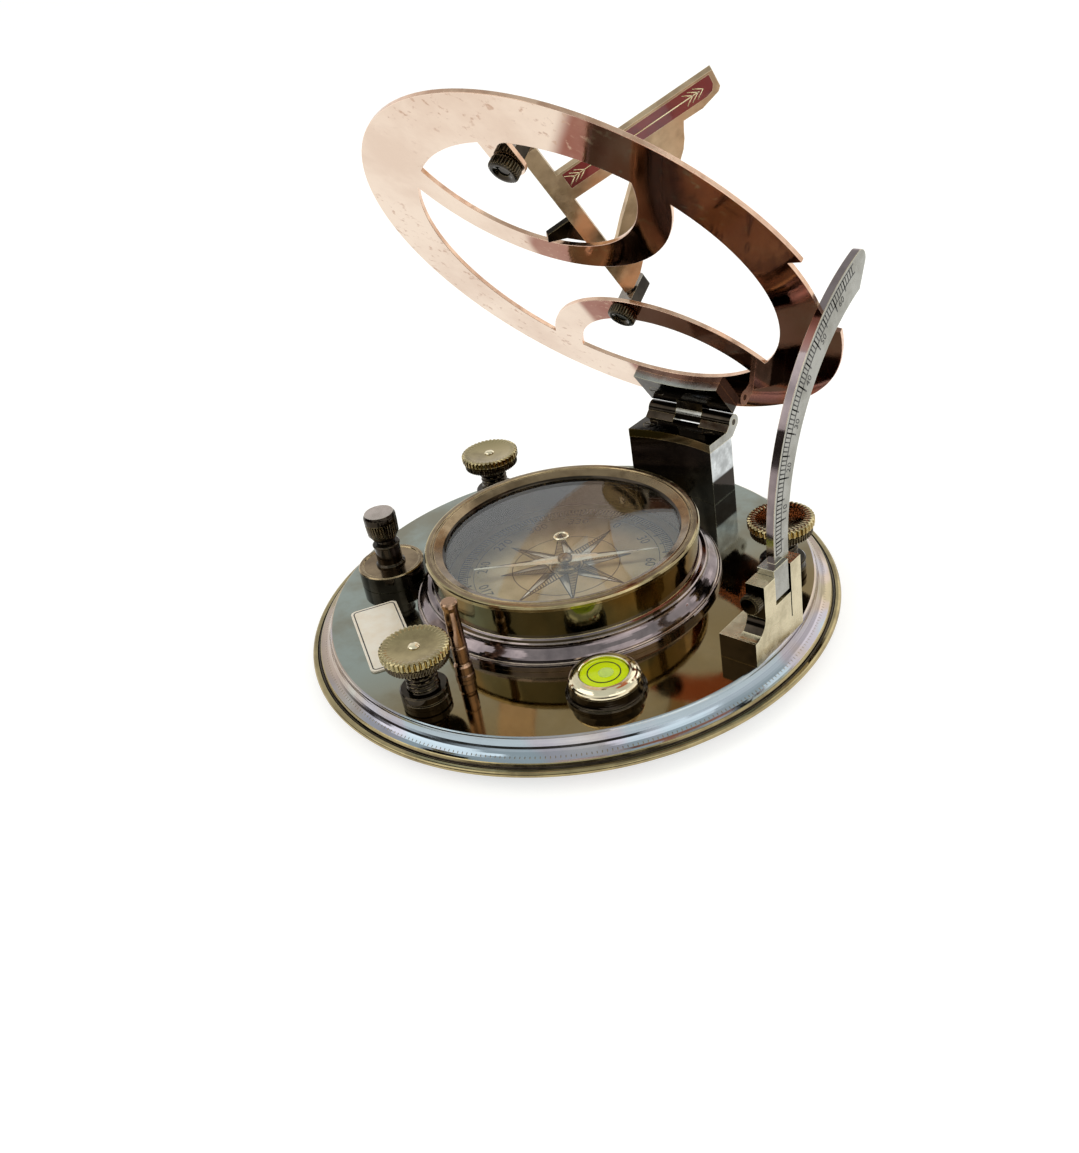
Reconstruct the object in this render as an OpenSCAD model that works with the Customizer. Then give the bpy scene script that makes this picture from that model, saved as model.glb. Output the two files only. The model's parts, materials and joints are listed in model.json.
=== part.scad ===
// Equinoctial sundial compass on three levelling screws, in millimetres.
// +Z is up, +Y points to the hinge of the hour ring, the origin is the centre
// of the plane that the three levelling screws stand on.

/* [Base plate] */
// Diameter over the rim bead
plate_d = 150; // [140:1:170]
// Height from the rim's lower edge to the polished top
plate_h = 7.1; // [6.8:0.1:8.4]
// Thickness of the plate's top and rim walls
plate_wall = 3; // [2.6:0.1:3.2]
// Width of the bead round the rim
bead_w = 2.7; // [2:0.1:3.2]
// Height of the bead round the rim
bead_h = 1.5; // [1.2:0.1:1.9]
// Height of the step where the cove starts
step_h = 2.5; // [2.3:0.1:3]
// Width of the cove between the step and the polished top
cove_w = 4.2; // [3.6:0.1:4.6]

/* [Levelling screws] */
// How far the screws' ends stand below the rim
foot_drop = 4; // [3:0.5:5]
// Distance from the polished top's edge in to the screws' axes
screw_inset = 8.3; // [7.5:0.1:8.8]
// Angle that the three screws are turned by about the plate's axis
screw_turn = 1.7; // [0:0.1:4]
// Thread diameter of a levelling screw
screw_d = 8.4; // [7.6:0.1:8.8]
// Diameter of a levelling screw's knurled head
head_d = 17.9; // [16.4:0.1:18.4]
// Height of a head, both knurled tiers together
head_h = 4.8; // [4.4:0.1:5.6]
// Height of the heads' tops above the plate
head_rise = 16.5; // [15.5:0.1:18]
// Diameter of the threaded boss under each head
boss_d = 12.5; // [12:0.1:14]
// Height of the threaded boss
boss_h = 4; // [3.2:0.1:5]
// Radial clearance between a turning or sliding shaft and its hole
run_fit = 0.05; // [0.03:0.01:0.09]

/* [Compass] */
// Clear width of the polished top outside the case's flange
case_margin = 24.9; // [24.7:0.1:25.6]
// Thickness of the case's flange
flange_h = 1.9; // [1.6:0.1:2.4]
// Width of the moulding between the flange's rim and its upper edge
moulding_w = 3.7; // [3.2:0.1:4.2]
// Height of that edge above the plate
edge_h = 6.2; // [5.6:0.1:7]
// Width of the ledge between that edge and the drum wall
ledge_w = 1.9; // [1.5:0.1:2.3]
// Thickness of the drum wall
drum_wall = 3.4; // [3:0.1:3.8]
// Height of the bezel's top above the plate
case_h = 16.5; // [15.8:0.1:18]
// How far the bezel stands out beyond the drum wall
bezel_over = 0.7; // [0.5:0.1:1.1]
// Width of the bezel
bezel_w = 5.6; // [5.4:0.1:6.2]
// Thickness of the glass
glass_t = 1.5; // [1.2:0.1:1.9]
// Height of the dial's face above the plate
dial_h = 4; // [3.8:0.1:4.6]
// Thickness of the dial plate
dial_t = 0.8; // [0.6:0.1:1]
// Gap between each end of the needle and the drum wall
needle_gap = 8.2; // [6.2:0.1:11]
// Direction of the needle's north end at rest
needle_turn = 219; // [0:1:359]

/* [Needle lock] */
// Distance from the polished top's edge in to the lock drum's axis
lock_inset = 14.2; // [13.5:0.1:14.8]
// Direction of the lock drum from the plate's axis
lock_turn = 204.5; // [202:0.5:208]
// Diameter of the lock drum
lock_d = 19.5; // [17:0.1:19.8]
// Height of the lock drum
lock_h = 5.1; // [4.4:0.1:6]
// Diameter of the column on the lock drum
column_d = 7.5; // [7:0.1:8.4]
// Height of the column above the drum
column_h = 6.8; // [6:0.1:8]
// Height of the knob's knurled head
knob_h = 8.7; // [7.8:0.1:9.6]
// Largest diameter of the knob's head
knob_d = 9.5; // [8.6:0.1:10]
// How far the lifter rises when the needle is locked
lift = 0.8; // [0.6:0.05:0.85]

/* [Hinge] */
// Half width of the hinge block and of both leaves
hinge_half = 14.85; // [13.6:0.05:15.4]
// Height of the hinge block above the plate
block_h = 17.7; // [16.8:0.1:19]
// Distance from the polished top's edge in to the block's hollow front
front_inset = 13.4; // [12.7:0.1:14.1]
// Thickness of each leaf
leaf_t = 2.6; // [2.2:0.1:2.8]
// Distance of the pin's axis out from the plate's polished edge
pin_inset = 2.1; // [1.6:0.1:2.4]
// Diameter of the knuckles
knuckle_d = 4.8; // [4.6:0.1:5.2]
// Diameter of the hinge pin
pin_d = 2; // [1.8:0.1:2.4]
// Length of the upper leaf's knuckle
knuckle_len = 9.3; // [8.6:0.1:10]
// Distance from the pin's axis to each leaf's inner face
leaf_gap = 1.65; // [1.6:0.05:1.8]

/* [Hour ring] */
// Tilt of the hour ring at rest, measured from folded flat
ring_tilt = 53.67; // [20:0.5:80]
// Gap between the hinge pin's axis and the ring's rim
ring_gap = 0.4; // [0.4:0.1:1.2]
// Distance from the polished top's edge in to the ring's rim
ring_margin = 0.2; // [0:0.1:0.9]
// Width of the hour ring
ring_w = 16.4; // [15.4:0.1:17.1]
// Thickness of the hour ring
ring_t = 1.2; // [1:0.1:1.6]
// Depth of the cut in the rim where the latitude arc passes
notch_depth = 3.9; // [3.9:0.1:4.3]
// Upper end of that cut, as an angle from +X
notch_top = 12; // [10:0.5:14]
// Lower end of that cut, as an angle from +X
notch_low = -12; // [-14:0.5:-11.5]

/* [Gnomon] */
// Lean of the gnomon at rest, from upright towards +X
gnomon_lean = 44; // [0:0.5:80]
// Height of the gnomon's pivot above the ring's underside
pivot_h = 5; // [4.8:0.1:5.6]
// Thickness of the gnomon sheet
sheet_t = 1.8; // [1.6:0.1:2]
// How much the arrow is shorter than the ring's inner radius
arrow_short = 5.1; // [4.7:0.1:5.9]
// Distance from the ring's inner edge in to the upper post
post_inset = 7.3; // [7:0.1:7.8]
// Distance from the lower loop's inner edge to the lower post
post_margin = 4.1; // [3.8:0.1:4.6]
// Height of the posts above the ring's underside
post_h = 10.8; // [10:0.1:12]
// Diameter of the knurled nuts under the ring
nut_d = 8; // [7.6:0.1:8.2]
// Height of the knurled nuts
nut_h = 3; // [2.7:0.1:3.4]

/* [Latitude arc] */
// How much the radius of the arc's outer edge is less than the pin's distance from the plate's axis
arc_short = 2.3; // [2:0.1:2.6]
// Height of the outer edge's centre above the pin
arc_rise = 2.2; // [1.8:0.1:2.4]
// How much the inner edge's radius is less than the outer edge's
arc_w = 7; // [6.5:0.1:7.4]
// Thickness of the arc
arc_t = 2.2; // [1.8:0.1:2.2]
// Clear gap between the ring's cut rim and the arc
arc_gap = 0.2; // [0.2:0.05:0.4]
// Elevation of the inner edge's upper end above the hinge pin
arc_top = 70.5; // [60:0.5:72]
// Height of the arc's pivot above the plate
arc_pivot_h = 16.2; // [15.6:0.1:17]
// Thickness of the bracket's upright
bracket_t = 5.2; // [5:0.1:5.6]
// Height of the bracket's upright above the plate
bracket_h = 20.4; // [19.8:0.1:20.4]
// Diameter of the clamp screw
clamp_d = 2.5; // [2.2:0.1:2.8]

/* [Level, post and label] */
// Distance from the polished top's edge in to the level's axis
level_inset = 14.3; // [13.1:0.1:14.3]
// Direction of the level from the plate's axis
level_turn = -40.9; // [-44:0.1:-38]
// Diameter of the level's flange
level_d = 20.4; // [18:0.1:20.6]
// Diameter of the vial's window
vial_d = 12.2; // [11:0.1:13]
// Height of the level
level_h = 6.1; // [5.6:0.1:7]
// Distance from the polished top's edge in to the rest post
rest_inset = 19.9; // [19.4:0.1:20.4]
// Distance of the rest post to the side of the plate's Y axis
rest_x = 4.6; // [4:0.1:5.2]
// Height of the rest post above the plate
rest_h = 23.3; // [20:0.1:23.4]
// Diameter of the rest post's head
rest_d = 4.4; // [4:0.1:4.6]
// Distance from the polished top's edge in to the label's middle
label_inset = 13.9; // [13.5:0.1:14.6]
// Direction of the label from the plate's axis
label_turn = -121.8; // [-124:0.1:-120]
// Length of the label plate along the rim
label_len = 32; // [26:0.5:33]
// Width of the label plate
label_w = 13.5; // [10:0.5:14]
// Thickness of the label plate
label_t = 0.5; // [0.4:0.1:0.8]

/* [Hidden] */
$fn = 96;

// A hair's overlap that keeps cuts clean
eps = 0.01;
brass = [0.62, 0.55, 0.38];
old_brass = [0.40, 0.37, 0.28];
bronze = [0.20, 0.17, 0.13];
copper = [0.78, 0.50, 0.36];
pale = [0.76, 0.72, 0.60];

// Heights and radii that the pieces share
rim_z = foot_drop;
top_z = rim_z + plate_h;
under_z = top_z - plate_wall;
top_r = plate_d / 2 - bead_w - cove_w;
hollow_r = top_r - 1.6;
screw_r = top_r - screw_inset;
flange_d = 2 * (top_r - case_margin);
edge_d = flange_d - 2 * moulding_w;
drum_d = edge_d - 2 * ledge_w;
drum_bore_d = drum_d - 2 * drum_wall;
bezel_d = drum_d + 2 * bezel_over;
bezel_bore_d = bezel_d - 2 * bezel_w;
needle_len = drum_bore_d - 2 * needle_gap;
lock_r = top_r - lock_inset;
front_r = top_r - front_inset;
ring_r = top_r - ring_margin;
ring_bore_r = ring_r - ring_w;
ring_reach = ring_r + ring_gap;
notch_r = ring_r - notch_depth;
pin_y = top_r - pin_inset;
pin_z = top_z + block_h + leaf_t + leaf_gap;
ring_h = leaf_gap + leaf_t;
arc_r = pin_y - arc_short;
arc_bore_r = arc_r - arc_w;
block_back = 1.8;
arc_x = notch_r + arc_gap + arc_t / 2;
pivot_x = arc_x + 0.1;
pivot_z = top_z + arc_pivot_h;
bracket_x1 = pivot_x + bracket_t / 2;
bracket_x0 = bracket_x1 - bracket_t;
foot_y0 = -10;
foot_y1 = 12;

// Turns children to the levelling screw i
module at_screw(i) {
    rotate([0, 0, 30 + screw_turn + 120 * i]) translate([screw_r, 0, 0]) children();
}

// Moves children to a place on the plate's top, given by radius and direction
module on_plate(r, turn) {
    rotate([0, 0, turn]) translate([r, 0, top_z]) children();
}

// Carries children from the folded hour ring's frame, which starts at the pin
module tilted() {
    translate([0, pin_y, pin_z]) rotate([-ring_tilt, 0, 0]) children();
}

// Carries children to the ring's centre, with its underside at zero
module on_ring() {
    tilted() translate([0, -ring_reach, ring_h]) children();
}

// Carries a flat gnomon, x up the sheet and y along the pivot, to its lean
module on_gnomon() {
    on_ring() translate([0, 0, pivot_h]) rotate([0, gnomon_lean - 90, 0]) children();
}

// A toothed outline: a circle with notches all round, cut to a depth
function knurl(r, teeth, depth) = [
    for (i = [0 : teeth - 1], k = [0 : 2])
        let (a = 360 / teeth * (i + [0, 0.45, 0.72][k]), q = k < 2 ? r : r - depth)
        [q * cos(a), q * sin(a)]];

// A straight toothed band
module knurled_band(d, h, teeth, depth) {
    linear_extrude(h) polygon(knurl(d / 2, teeth, depth));
}

// Points of a round stretch about a centre, in degrees
function arc_points(c, r, from, to, n = 10) = [
    for (i = [0 : n]) let (a = from + (to - from) * i / n) [c[0] + r * cos(a), c[1] + r * sin(a)]];

/* Base */

// The plate's section: bead, groove, step and cove outside, hollow beneath
function plate_section() = concat(
    [[0, under_z], [hollow_r - 1, under_z], [hollow_r, under_z - 1]],
    [[hollow_r + cove_w - 1, rim_z + 0.4], [hollow_r + cove_w - 0.6, rim_z]],
    [for (p = arc_points([plate_d / 2 - bead_h / 2, rim_z + bead_h / 2], bead_h / 2, -90, 100, 12)) p],
    [[plate_d / 2 - bead_h, rim_z + bead_h], [plate_d / 2 - bead_h - 0.4, rim_z + bead_h - 0.35],
     [plate_d / 2 - bead_h - 0.7, rim_z + bead_h + 0.3], [top_r + cove_w + 0.2, rim_z + step_h - 0.15],
     [top_r + cove_w, rim_z + step_h]],
    [for (i = [1 : 10]) let (t = i / 10)
        [top_r + cove_w - (cove_w - 0.5) * sin(90 * t), top_z - 0.45 - (plate_h - 0.45 - step_h) * cos(90 * t)]],
    [[top_r + 0.25, top_z - 0.1], [top_r - 0.1, top_z], [0, top_z]]);

module base_plate() {
    color(old_brass) difference() {
        rotate_extrude($fn = 180) polygon(plate_section());
        for (i = [0 : 2]) at_screw(i) translate([0, 0, under_z - 1])
            cylinder(d = spigot_d, h = plate_wall + 2);
        for (p = fastener_places) fastener_hole(p, plate_wall + 1);
        on_plate(lock_r, lock_turn) translate([0, 0, -plate_wall - 1])
            cylinder(d = lock_shaft_d + 2 * run_fit, h = plate_wall + 2);
        push_rod_holes(under_z - 1, plate_wall + 2);
        at_rest_post() translate([0, 0, -plate_wall - 1]) cylinder(d = rest_spigot_d, h = plate_wall + 2);
    }
}

// The bosses' spigots fill their holes in the plate
spigot_d = screw_d + 2.2;

module screw_bosses() {
    color(bronze) for (i = [0 : 2]) at_screw(i) difference() {
        union() {
            translate([0, 0, under_z]) cylinder(d = spigot_d, h = plate_wall + 1);
            translate([0, 0, top_z]) rotate_extrude()
                polygon([[0, 0], [boss_d / 2, 0], [boss_d / 2, boss_h * 0.35],
                [boss_d / 2 - 0.35, boss_h * 0.4], [boss_d / 2 - 0.35, boss_h * 0.5],
                    [boss_d / 2, boss_h * 0.55],
                [boss_d / 2, boss_h - 0.4], [boss_d / 2 - 0.4, boss_h], [0, boss_h]]);
        }
        translate([0, 0, under_z - 1]) cylinder(d = screw_d + 2 * run_fit, h = plate_wall + boss_h + 2);
    }
}

// Fasteners from beneath: radius, direction of each and how deep it bites
case_screw_r = (drum_d + drum_bore_d) / 4 + 1.2;
fastener_d = 2.8;
fastener_head_d = 5;
fastener_bite = 3.6;
block_screw_y = pin_y - block_back - 4.7;
block_screw_x = hinge_half - 5.85;
bracket_screw_x = arc_x - 3.9;
fastener_places = concat(
    [for (a = [60, 165, 300]) [case_screw_r * cos(a), case_screw_r * sin(a)]],
    [for (s = [-1, 1]) [s * block_screw_x, block_screw_y]],
    [for (y = [foot_y0 + 4, foot_y1 - 4]) [bracket_screw_x, y]]);

module fastener_hole(p, depth) {
    translate([p[0], p[1], under_z - 1]) cylinder(d = fastener_d + 0.1, h = 1 + depth, $fn = 32);
}

module plate_screws() {
    color(brass) for (p = fastener_places) translate([p[0], p[1], under_z]) difference() {
        union() {
            cylinder(d = fastener_d, h = plate_wall + fastener_bite, $fn = 32);
            translate([0, 0, -1.2]) cylinder(d = fastener_head_d, h = 1.2, $fn = 48);
        }
        translate([-fastener_head_d, -0.3, -1.2 - eps]) cube([2 * fastener_head_d, 0.6, 0.6]);
    }
}

/* Levelling screws */

head_z = top_z + head_rise - head_h;
neck_d = 6;
neck_len = 3.4;

module levelling_shaft() {
    color(bronze) rotate_extrude() polygon(concat(
        [[0, 0]],
        arc_points([screw_d / 2 - 1.2, 1.2], 1.2, -90, 0, 6),
        [[screw_d / 2, head_z - 0.05], [neck_d / 2, head_z - 0.05],
         [neck_d / 2, head_z + neck_len - 0.1], [0, head_z + neck_len - 0.1]]));
}

// The head: a coarse tier over a fine one, a groove between, a dished top
module levelling_head() {
    tier = head_h * 0.42;
    groove = head_h * 0.12;
    low = head_h - tier - groove;
    color(old_brass) translate([0, 0, head_z]) difference() {
        union() {
            knurled_band(head_d - 1.1, low, 56, 0.35);
            cylinder(d = head_d - 2.6, h = head_h - 0.5);
            translate([0, 0, low + groove]) knurled_band(head_d, tier, 40, 0.65);
        }
        translate([0, 0, -eps]) cylinder(d = neck_d + 2 * run_fit, h = neck_len);
        rotate_extrude() polygon(concat(
            [for (i = [0 : 8]) let (q = (head_d / 2 - 1) * i / 8)
                [q, head_h - 0.55 * (1 - pow(i / 8, 2))]],
            [[head_d / 2 - 0.9, head_h + 1], [0, head_h + 1]]));
    }
    color(old_brass) translate([0, 0, head_z + head_h - 0.8])
        cylinder(d1 = 2.4, d2 = 1.4, h = 0.75, $fn = 32);
}

module levelling_shaft_1() { at_screw(0) levelling_shaft(); }
module levelling_shaft_2() { at_screw(1) levelling_shaft(); }
module levelling_shaft_3() { at_screw(2) levelling_shaft(); }
module levelling_head_1() { at_screw(0) levelling_head(); }
module levelling_head_2() { at_screw(1) levelling_head(); }
module levelling_head_3() { at_screw(2) levelling_head(); }

/* Compass */

floor_t = 1.5;
glass_z = top_z + case_h - 2.2;
bezel_t = 1.7;
seat_d = drum_d - 3.4;

// The case: flange, ogee moulding, edge bead and drum wall, with a stepped bore
module compass_case() {
    ogee_low = flange_h + 0.2;
    ogee_high = edge_h - 0.6;
    r_low = flange_d / 2 - 0.9;
    r_high = edge_d / 2 + 0.1;
    wall_top = case_h - bezel_t;
    color(old_brass) difference() {
        translate([0, 0, top_z]) rotate_extrude($fn = 180) polygon(concat(
            [[0, 0], [flange_d / 2, 0], [flange_d / 2, flange_h - 0.5], [flange_d / 2 - 0.4, flange_h],
             [r_low + 0.1, flange_h]],
            [for (i = [0 : 10]) let (t = i / 10)
                [r_low - (r_low - r_high) * (0.5 - 0.5 * cos(180 * t)), ogee_low + (ogee_high - ogee_low) * t]],
            [[edge_d / 2 + 0.1, edge_h - 0.3], [edge_d / 2 - 0.3, edge_h],
                [drum_d / 2 + 0.5, edge_h + 0.1],
             [drum_d / 2, edge_h + 0.6], [drum_d / 2, wall_top], [seat_d / 2, wall_top],
             [seat_d / 2, glass_z - glass_t - top_z], [drum_bore_d / 2, glass_z - glass_t - top_z],
             [drum_bore_d / 2, dial_h - dial_t], [drum_bore_d / 2 - 1.8, dial_h - dial_t],
             [drum_bore_d / 2 - 1.8, floor_t], [0, floor_t]]));
        for (p = fastener_places) fastener_hole(p, plate_wall + fastener_bite + 0.3);
        push_rod_holes(top_z - 1, floor_t + 2);
        translate([0, 0, top_z - 1]) cylinder(d = pin_foot_d, h = floor_t + 2, $fn = 32);
    }
}

module dial_plate() {
    color(pale) difference() {
        translate([0, 0, top_z + dial_h - dial_t]) cylinder(d = drum_bore_d - 0.3, h = dial_t);
        translate([0, 0, top_z + dial_h - 2]) cylinder(d = pin_foot_d + 0.3, h = 4, $fn = 32);
        push_rod_holes(top_z + dial_h - 2, 4);
    }
}

module compass_glass() {
    color([0.8, 0.9, 0.9, 0.3]) translate([0, 0, glass_z - glass_t])
        cylinder(d = seat_d - 0.2, h = glass_t);
}

// The bezel: a rounded outer edge, a flat, a small step and a slope to the glass
module bezel() {
    lip = glass_z - top_z - case_h;
    color(brass) translate([0, 0, top_z + case_h]) rotate_extrude($fn = 180) polygon(concat(
        [[bezel_bore_d / 2, lip], [seat_d / 2 - 0.1, lip], [seat_d / 2 - 0.1, -bezel_t]],
        arc_points([bezel_d / 2 - 0.5, -bezel_t + 0.5], 0.5, -90, 0, 4),
        arc_points([bezel_d / 2 - 0.6, -0.6], 0.6, 0, 90, 6),
        [[bezel_d / 2 - 1.9, 0], [bezel_d / 2 - 2.1, -0.35], [bezel_d / 2 - 2.5, -0.35],
         [bezel_d / 2 - 2.8, -0.15], [bezel_bore_d / 2 + 0.5, -1.35], [bezel_bore_d / 2, -1.6]]));
}

pin_foot_d = 2;
pin_tip_d = 0.9;
lifter_z = top_z + dial_h + 0.2;
lifter_t = 0.7;
needle_z = lifter_z + lifter_t + lift + 0.2;
needle_t = 0.4;
cap_h = 1.3;
cap_neck_d = 3;
lifter_d = 8.6;
rod_d = 1.6;
rod_out = 2.9;

module needle_pin() {
    color(brass) translate([0, 0, top_z]) {
        cylinder(d = pin_foot_d, h = needle_z - top_z - 0.6, $fn = 32);
        cylinder(d = pin_tip_d, h = needle_z - top_z + cap_h - 0.55, $fn = 32);
    }
}

module needle() {
    half = needle_len / 2;
    color([0.85, 0.83, 0.76]) rotate([0, 0, needle_turn]) difference() {
        translate([0, 0, needle_z]) linear_extrude(needle_t)
            polygon([[half, 0], [half * 0.2, 1.5], [2.6, 2.6],
            [-2.6, 2.6], [-half * 0.2, 1.5], [-half, 0.5], [-half, -0.5], [-half * 0.2, -1.5],
                [-2.6, -2.6],
            [2.6, -2.6], [half * 0.2, -1.5]]);
        translate([0, 0, needle_z - 1]) cylinder(d = cap_neck_d, h = 3, $fn = 48);
    }
}

module needle_cap() {
    color(brass) translate([0, 0, needle_z - 0.1]) difference() {
        rotate_extrude($fn = 48) polygon(concat(
            [[0, 0], [cap_neck_d / 2 - 0.02, 0], [cap_neck_d / 2 - 0.02, needle_t + 0.1],
             [cap_neck_d / 2 + 0.6, needle_t + 0.1]],
            arc_points([cap_neck_d / 2, needle_t + 0.7], 0.6, 0, 90, 5),
            [[0, needle_t + cap_h]]));
        translate([0, 0, -1]) cylinder(d = pin_tip_d + 2 * run_fit, h = cap_h + 0.6, $fn = 32);
    }
}

// Holes for the two rods that lift the needle
module push_rod_holes(z, h) {
    for (s = [-1, 1]) rotate([0, 0, lock_turn]) translate([0, s * rod_out, z])
        cylinder(d = rod_d + 2 * run_fit, h = h, $fn = 32);
}

lever_z = rim_z + 1.6;
lever_t = 1.2;

module needle_lifter() {
    color(pale) {
        difference() {
            translate([0, 0, lifter_z]) cylinder(d = lifter_d, h = lifter_t);
            translate([0, 0, lifter_z - 1]) cylinder(d = pin_foot_d + 1, h = lifter_t + 2, $fn = 32);
        }
        for (s = [-1, 1]) rotate([0, 0, lock_turn]) translate([0, s * rod_out, lever_z + lever_t + 0.1])
            cylinder(d = rod_d, h = lifter_z - lever_z - lever_t + 0.2, $fn = 32);
    }
}

/* Needle lock */

lock_shaft_d = 4;
fulcrum_out = 20;
cam_span = 2.85;
cam_slope = atan(lift * fulcrum_out / (lock_r - fulcrum_out) / cam_span);
lever_w = 4;

module lock_drum() {
    rim_w = 1.3;
    color(bronze) on_plate(lock_r, lock_turn) difference() {
        rotate_extrude()
            polygon([[0, 0], [lock_d / 2, 0], [lock_d / 2, lock_h - 0.3], [lock_d / 2 - 0.3, lock_h],
            [lock_d / 2 - rim_w, lock_h], [lock_d / 2 - rim_w - 0.2, lock_h - 0.35], [0, lock_h - 0.35]]);
        translate([0, 0, -1]) cylinder(d = lock_shaft_d + 2 * run_fit, h = lock_h + 2);
    }
}

module lock_column() {
    color(bronze) on_plate(lock_r, lock_turn) translate([0, 0, lock_h - 0.35]) difference() {
        rotate_extrude()
            polygon([[0, 0], [column_d / 2 + 0.6, 0], [column_d / 2 + 0.6, 0.7], [column_d / 2, 1.1],
            [column_d / 2, column_h - 0.9], [column_d / 2 + 0.35, column_h - 0.6],
            [column_d / 2 + 0.35, column_h + 0.05], [column_d / 2, column_h + 0.35],
                [0, column_h + 0.35]]);
        translate([0, 0, -1]) cylinder(d = lock_shaft_d + 2 * run_fit, h = column_h + 3);
    }
}

// The knob: shaft with a slanting lower end that works the lever, neck and knurled head
module lock_knob() {
    head_base = lock_h + column_h + 0.15;
    cam_z = lever_z + lever_t + 0.3 - top_z;
    color(bronze) on_plate(lock_r, lock_turn) difference() {
        union() {
            translate([0, 0, cam_z - 0.7]) cylinder(d = lock_shaft_d, h = head_base + 2 - cam_z);
            translate([0, 0, head_base]) rotate_extrude() polygon([[0, 0], [column_d / 2 - 1, 0],
                [column_d / 2 - 1, 1.2], [knob_d / 2 - 1.2, 1.5], [knob_d / 2 - 0.2, 3.2],
                [knob_d / 2, knob_h - 1.6], [knob_d / 2, knob_h + 0.2], [knob_d / 2 - 0.5, knob_h + 1],
                [0, knob_h + 1.2]]);
        }
        for (i = [0 : 35]) rotate([0, 0, 10 * i]) translate([knob_d / 2 + 0.12, 0, head_base + 1])
            rotate([0, -1.5, 45]) cube([0.55, 0.55, knob_h - 2.6]);
        translate([-1.6, 0, cam_z]) rotate([0, cam_slope, 0]) translate([-5, -5, -8]) cube([12, 10, 8]);
    }
}

// The lever under the plate, from the knob's shaft to the lifter's rods
module lock_lever() {
    color(brass) rotate([0, 0, lock_turn]) difference() {
        union() {
            translate([-1.2, -lever_w, lever_z]) cube([3, 2 * lever_w, lever_t]);
            translate([0, -lever_w / 2, lever_z]) cube([lock_r - 1.2, lever_w, lever_t]);
            translate([lock_r - fulcrum_out, lever_w / 2, lever_z + lever_t / 2]) rotate([90, 0, 0])
                cylinder(d = 2.4, h = lever_w, $fn = 48);
        }
        translate([lock_r - fulcrum_out, lever_w, lever_z + lever_t / 2]) rotate([90, 0, 0])
            cylinder(d = lever_pin_d + 2 * run_fit, h = 2 * lever_w, $fn = 48);
    }
}

lever_pin_d = 1.2;
cheek_t = 1.6;

module lever_fulcrum() {
    out = lever_w / 2 + 0.3;
    color(brass) rotate([0, 0, lock_turn]) translate([lock_r - fulcrum_out, 0, 0]) difference() {
        for (s = [0, 1]) mirror([0, s, 0]) translate([-2.5, out, rim_z + 0.8])
            cube([5, cheek_t, under_z - rim_z - 0.8]);
        translate([0, out + cheek_t + 1, lever_z + lever_t / 2]) rotate([90, 0, 0])
            cylinder(d = lever_pin_d, h = 2 * (out + cheek_t + 1), $fn = 48);
    }
}

module lever_pin() {
    out = lever_w / 2 + 0.3 + cheek_t;
    color(pale) rotate([0, 0, lock_turn]) translate([lock_r - fulcrum_out, out, lever_z + lever_t / 2])
        rotate([90, 0, 0]) cylinder(d = lever_pin_d, h = 2 * out, $fn = 48);
}

/* Rest post, level and label */

rest_spigot_d = 2.6;

module at_rest_post() {
    translate([rest_x, rest_inset - top_r, top_z]) children();
}

// The post: a wide foot, a turned ring, a slim shaft and a flared head
module rest_post() {
    color(brass) at_rest_post() {
        translate([0, 0, -plate_wall]) cylinder(d = rest_spigot_d, h = plate_wall + 1, $fn = 32);
        rotate_extrude($fn = 48)
            polygon([[0, 0], [2.6, 0], [2.6, 1.2], [2.4, 1.6], [2.4, 4], [2.1, 4.4], [1.8, 4.7],
            [1.8, 5.1], [2.15, 5.5], [2.15, rest_h * 0.42], [1.95, rest_h * 0.42 + 0.2],
            [1.95, rest_h * 0.42 + 0.6], [2.1, rest_h * 0.42 + 0.8], [1.95, rest_h - 4.5],
            [1.9, rest_h - 2.6], [rest_d / 2, rest_h - 1.3], [rest_d / 2, rest_h - 0.3],
            [rest_d / 2 - 0.3, rest_h], [0, rest_h]]);
    }
}

level_wall_top = level_h - 2.2;
level_wall = 3.4;
vial_seat_d = level_d - 2 * level_wall;

module level_cup() {
    color(bronze) on_plate(top_r - level_inset, level_turn) rotate_extrude() polygon(concat(
        [[0, 0], [level_d / 2, 0], [level_d / 2, 0.9], [level_d / 2 - 0.3, 1.2]],
        [for (i = [0 : 6]) let (t = i / 6)
            [level_d / 2 - 0.8 - 0.8 * sin(90 * t), 1.2 + (level_wall_top - 1.2) * (1 - cos(90 * t))]],
        [[vial_seat_d / 2, level_wall_top], [vial_seat_d / 2, 1.1], [0, 1.1]]));
}

// The domed ring that holds the vial down
module level_ring() {
    out = level_d / 2 - 1.5;
    color(brass) on_plate(top_r - level_inset, level_turn) translate([0, 0, level_wall_top])
        rotate_extrude() polygon(concat(
        [[vial_d / 2, 0], [out - 0.2, 0], [out, 0.3]],
        [for (i = [1 : 8]) let (t = i / 8)
            [out - (out - vial_d / 2 - 0.3) * (1 - cos(90 * t)), 0.3 + 1.9 * sin(90 * t)]],
        [[vial_d / 2, 2]]));
}

module level_vial() {
    color([0.8, 0.95, 0.1, 0.8]) on_plate(top_r - level_inset, level_turn) rotate_extrude()
        polygon(concat(
        [[0, 1.1], [vial_seat_d / 2 - 0.1, 1.1], [vial_seat_d / 2 - 0.1, level_wall_top - 0.05],
         [vial_d / 2 - 0.05, level_wall_top - 0.05]],
        [for (i = [0 : 8]) let (t = i / 8)
            [(vial_d / 2 - 0.05) * (1 - t), level_wall_top + 1.5 + 0.5 * sin(90 * t)]]));
}

module label_plate() {
    corner = 1.6;
    color([0.9, 0.87, 0.78]) on_plate(top_r - label_inset, label_turn) hull()
        for (x = [-1, 1], y = [-1, 1])
            translate([x * (label_w / 2 - corner), y * (label_len / 2 - corner), 0])
            cylinder(r = corner, h = label_t, $fn = 32);
}

/* Hinge */

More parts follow.
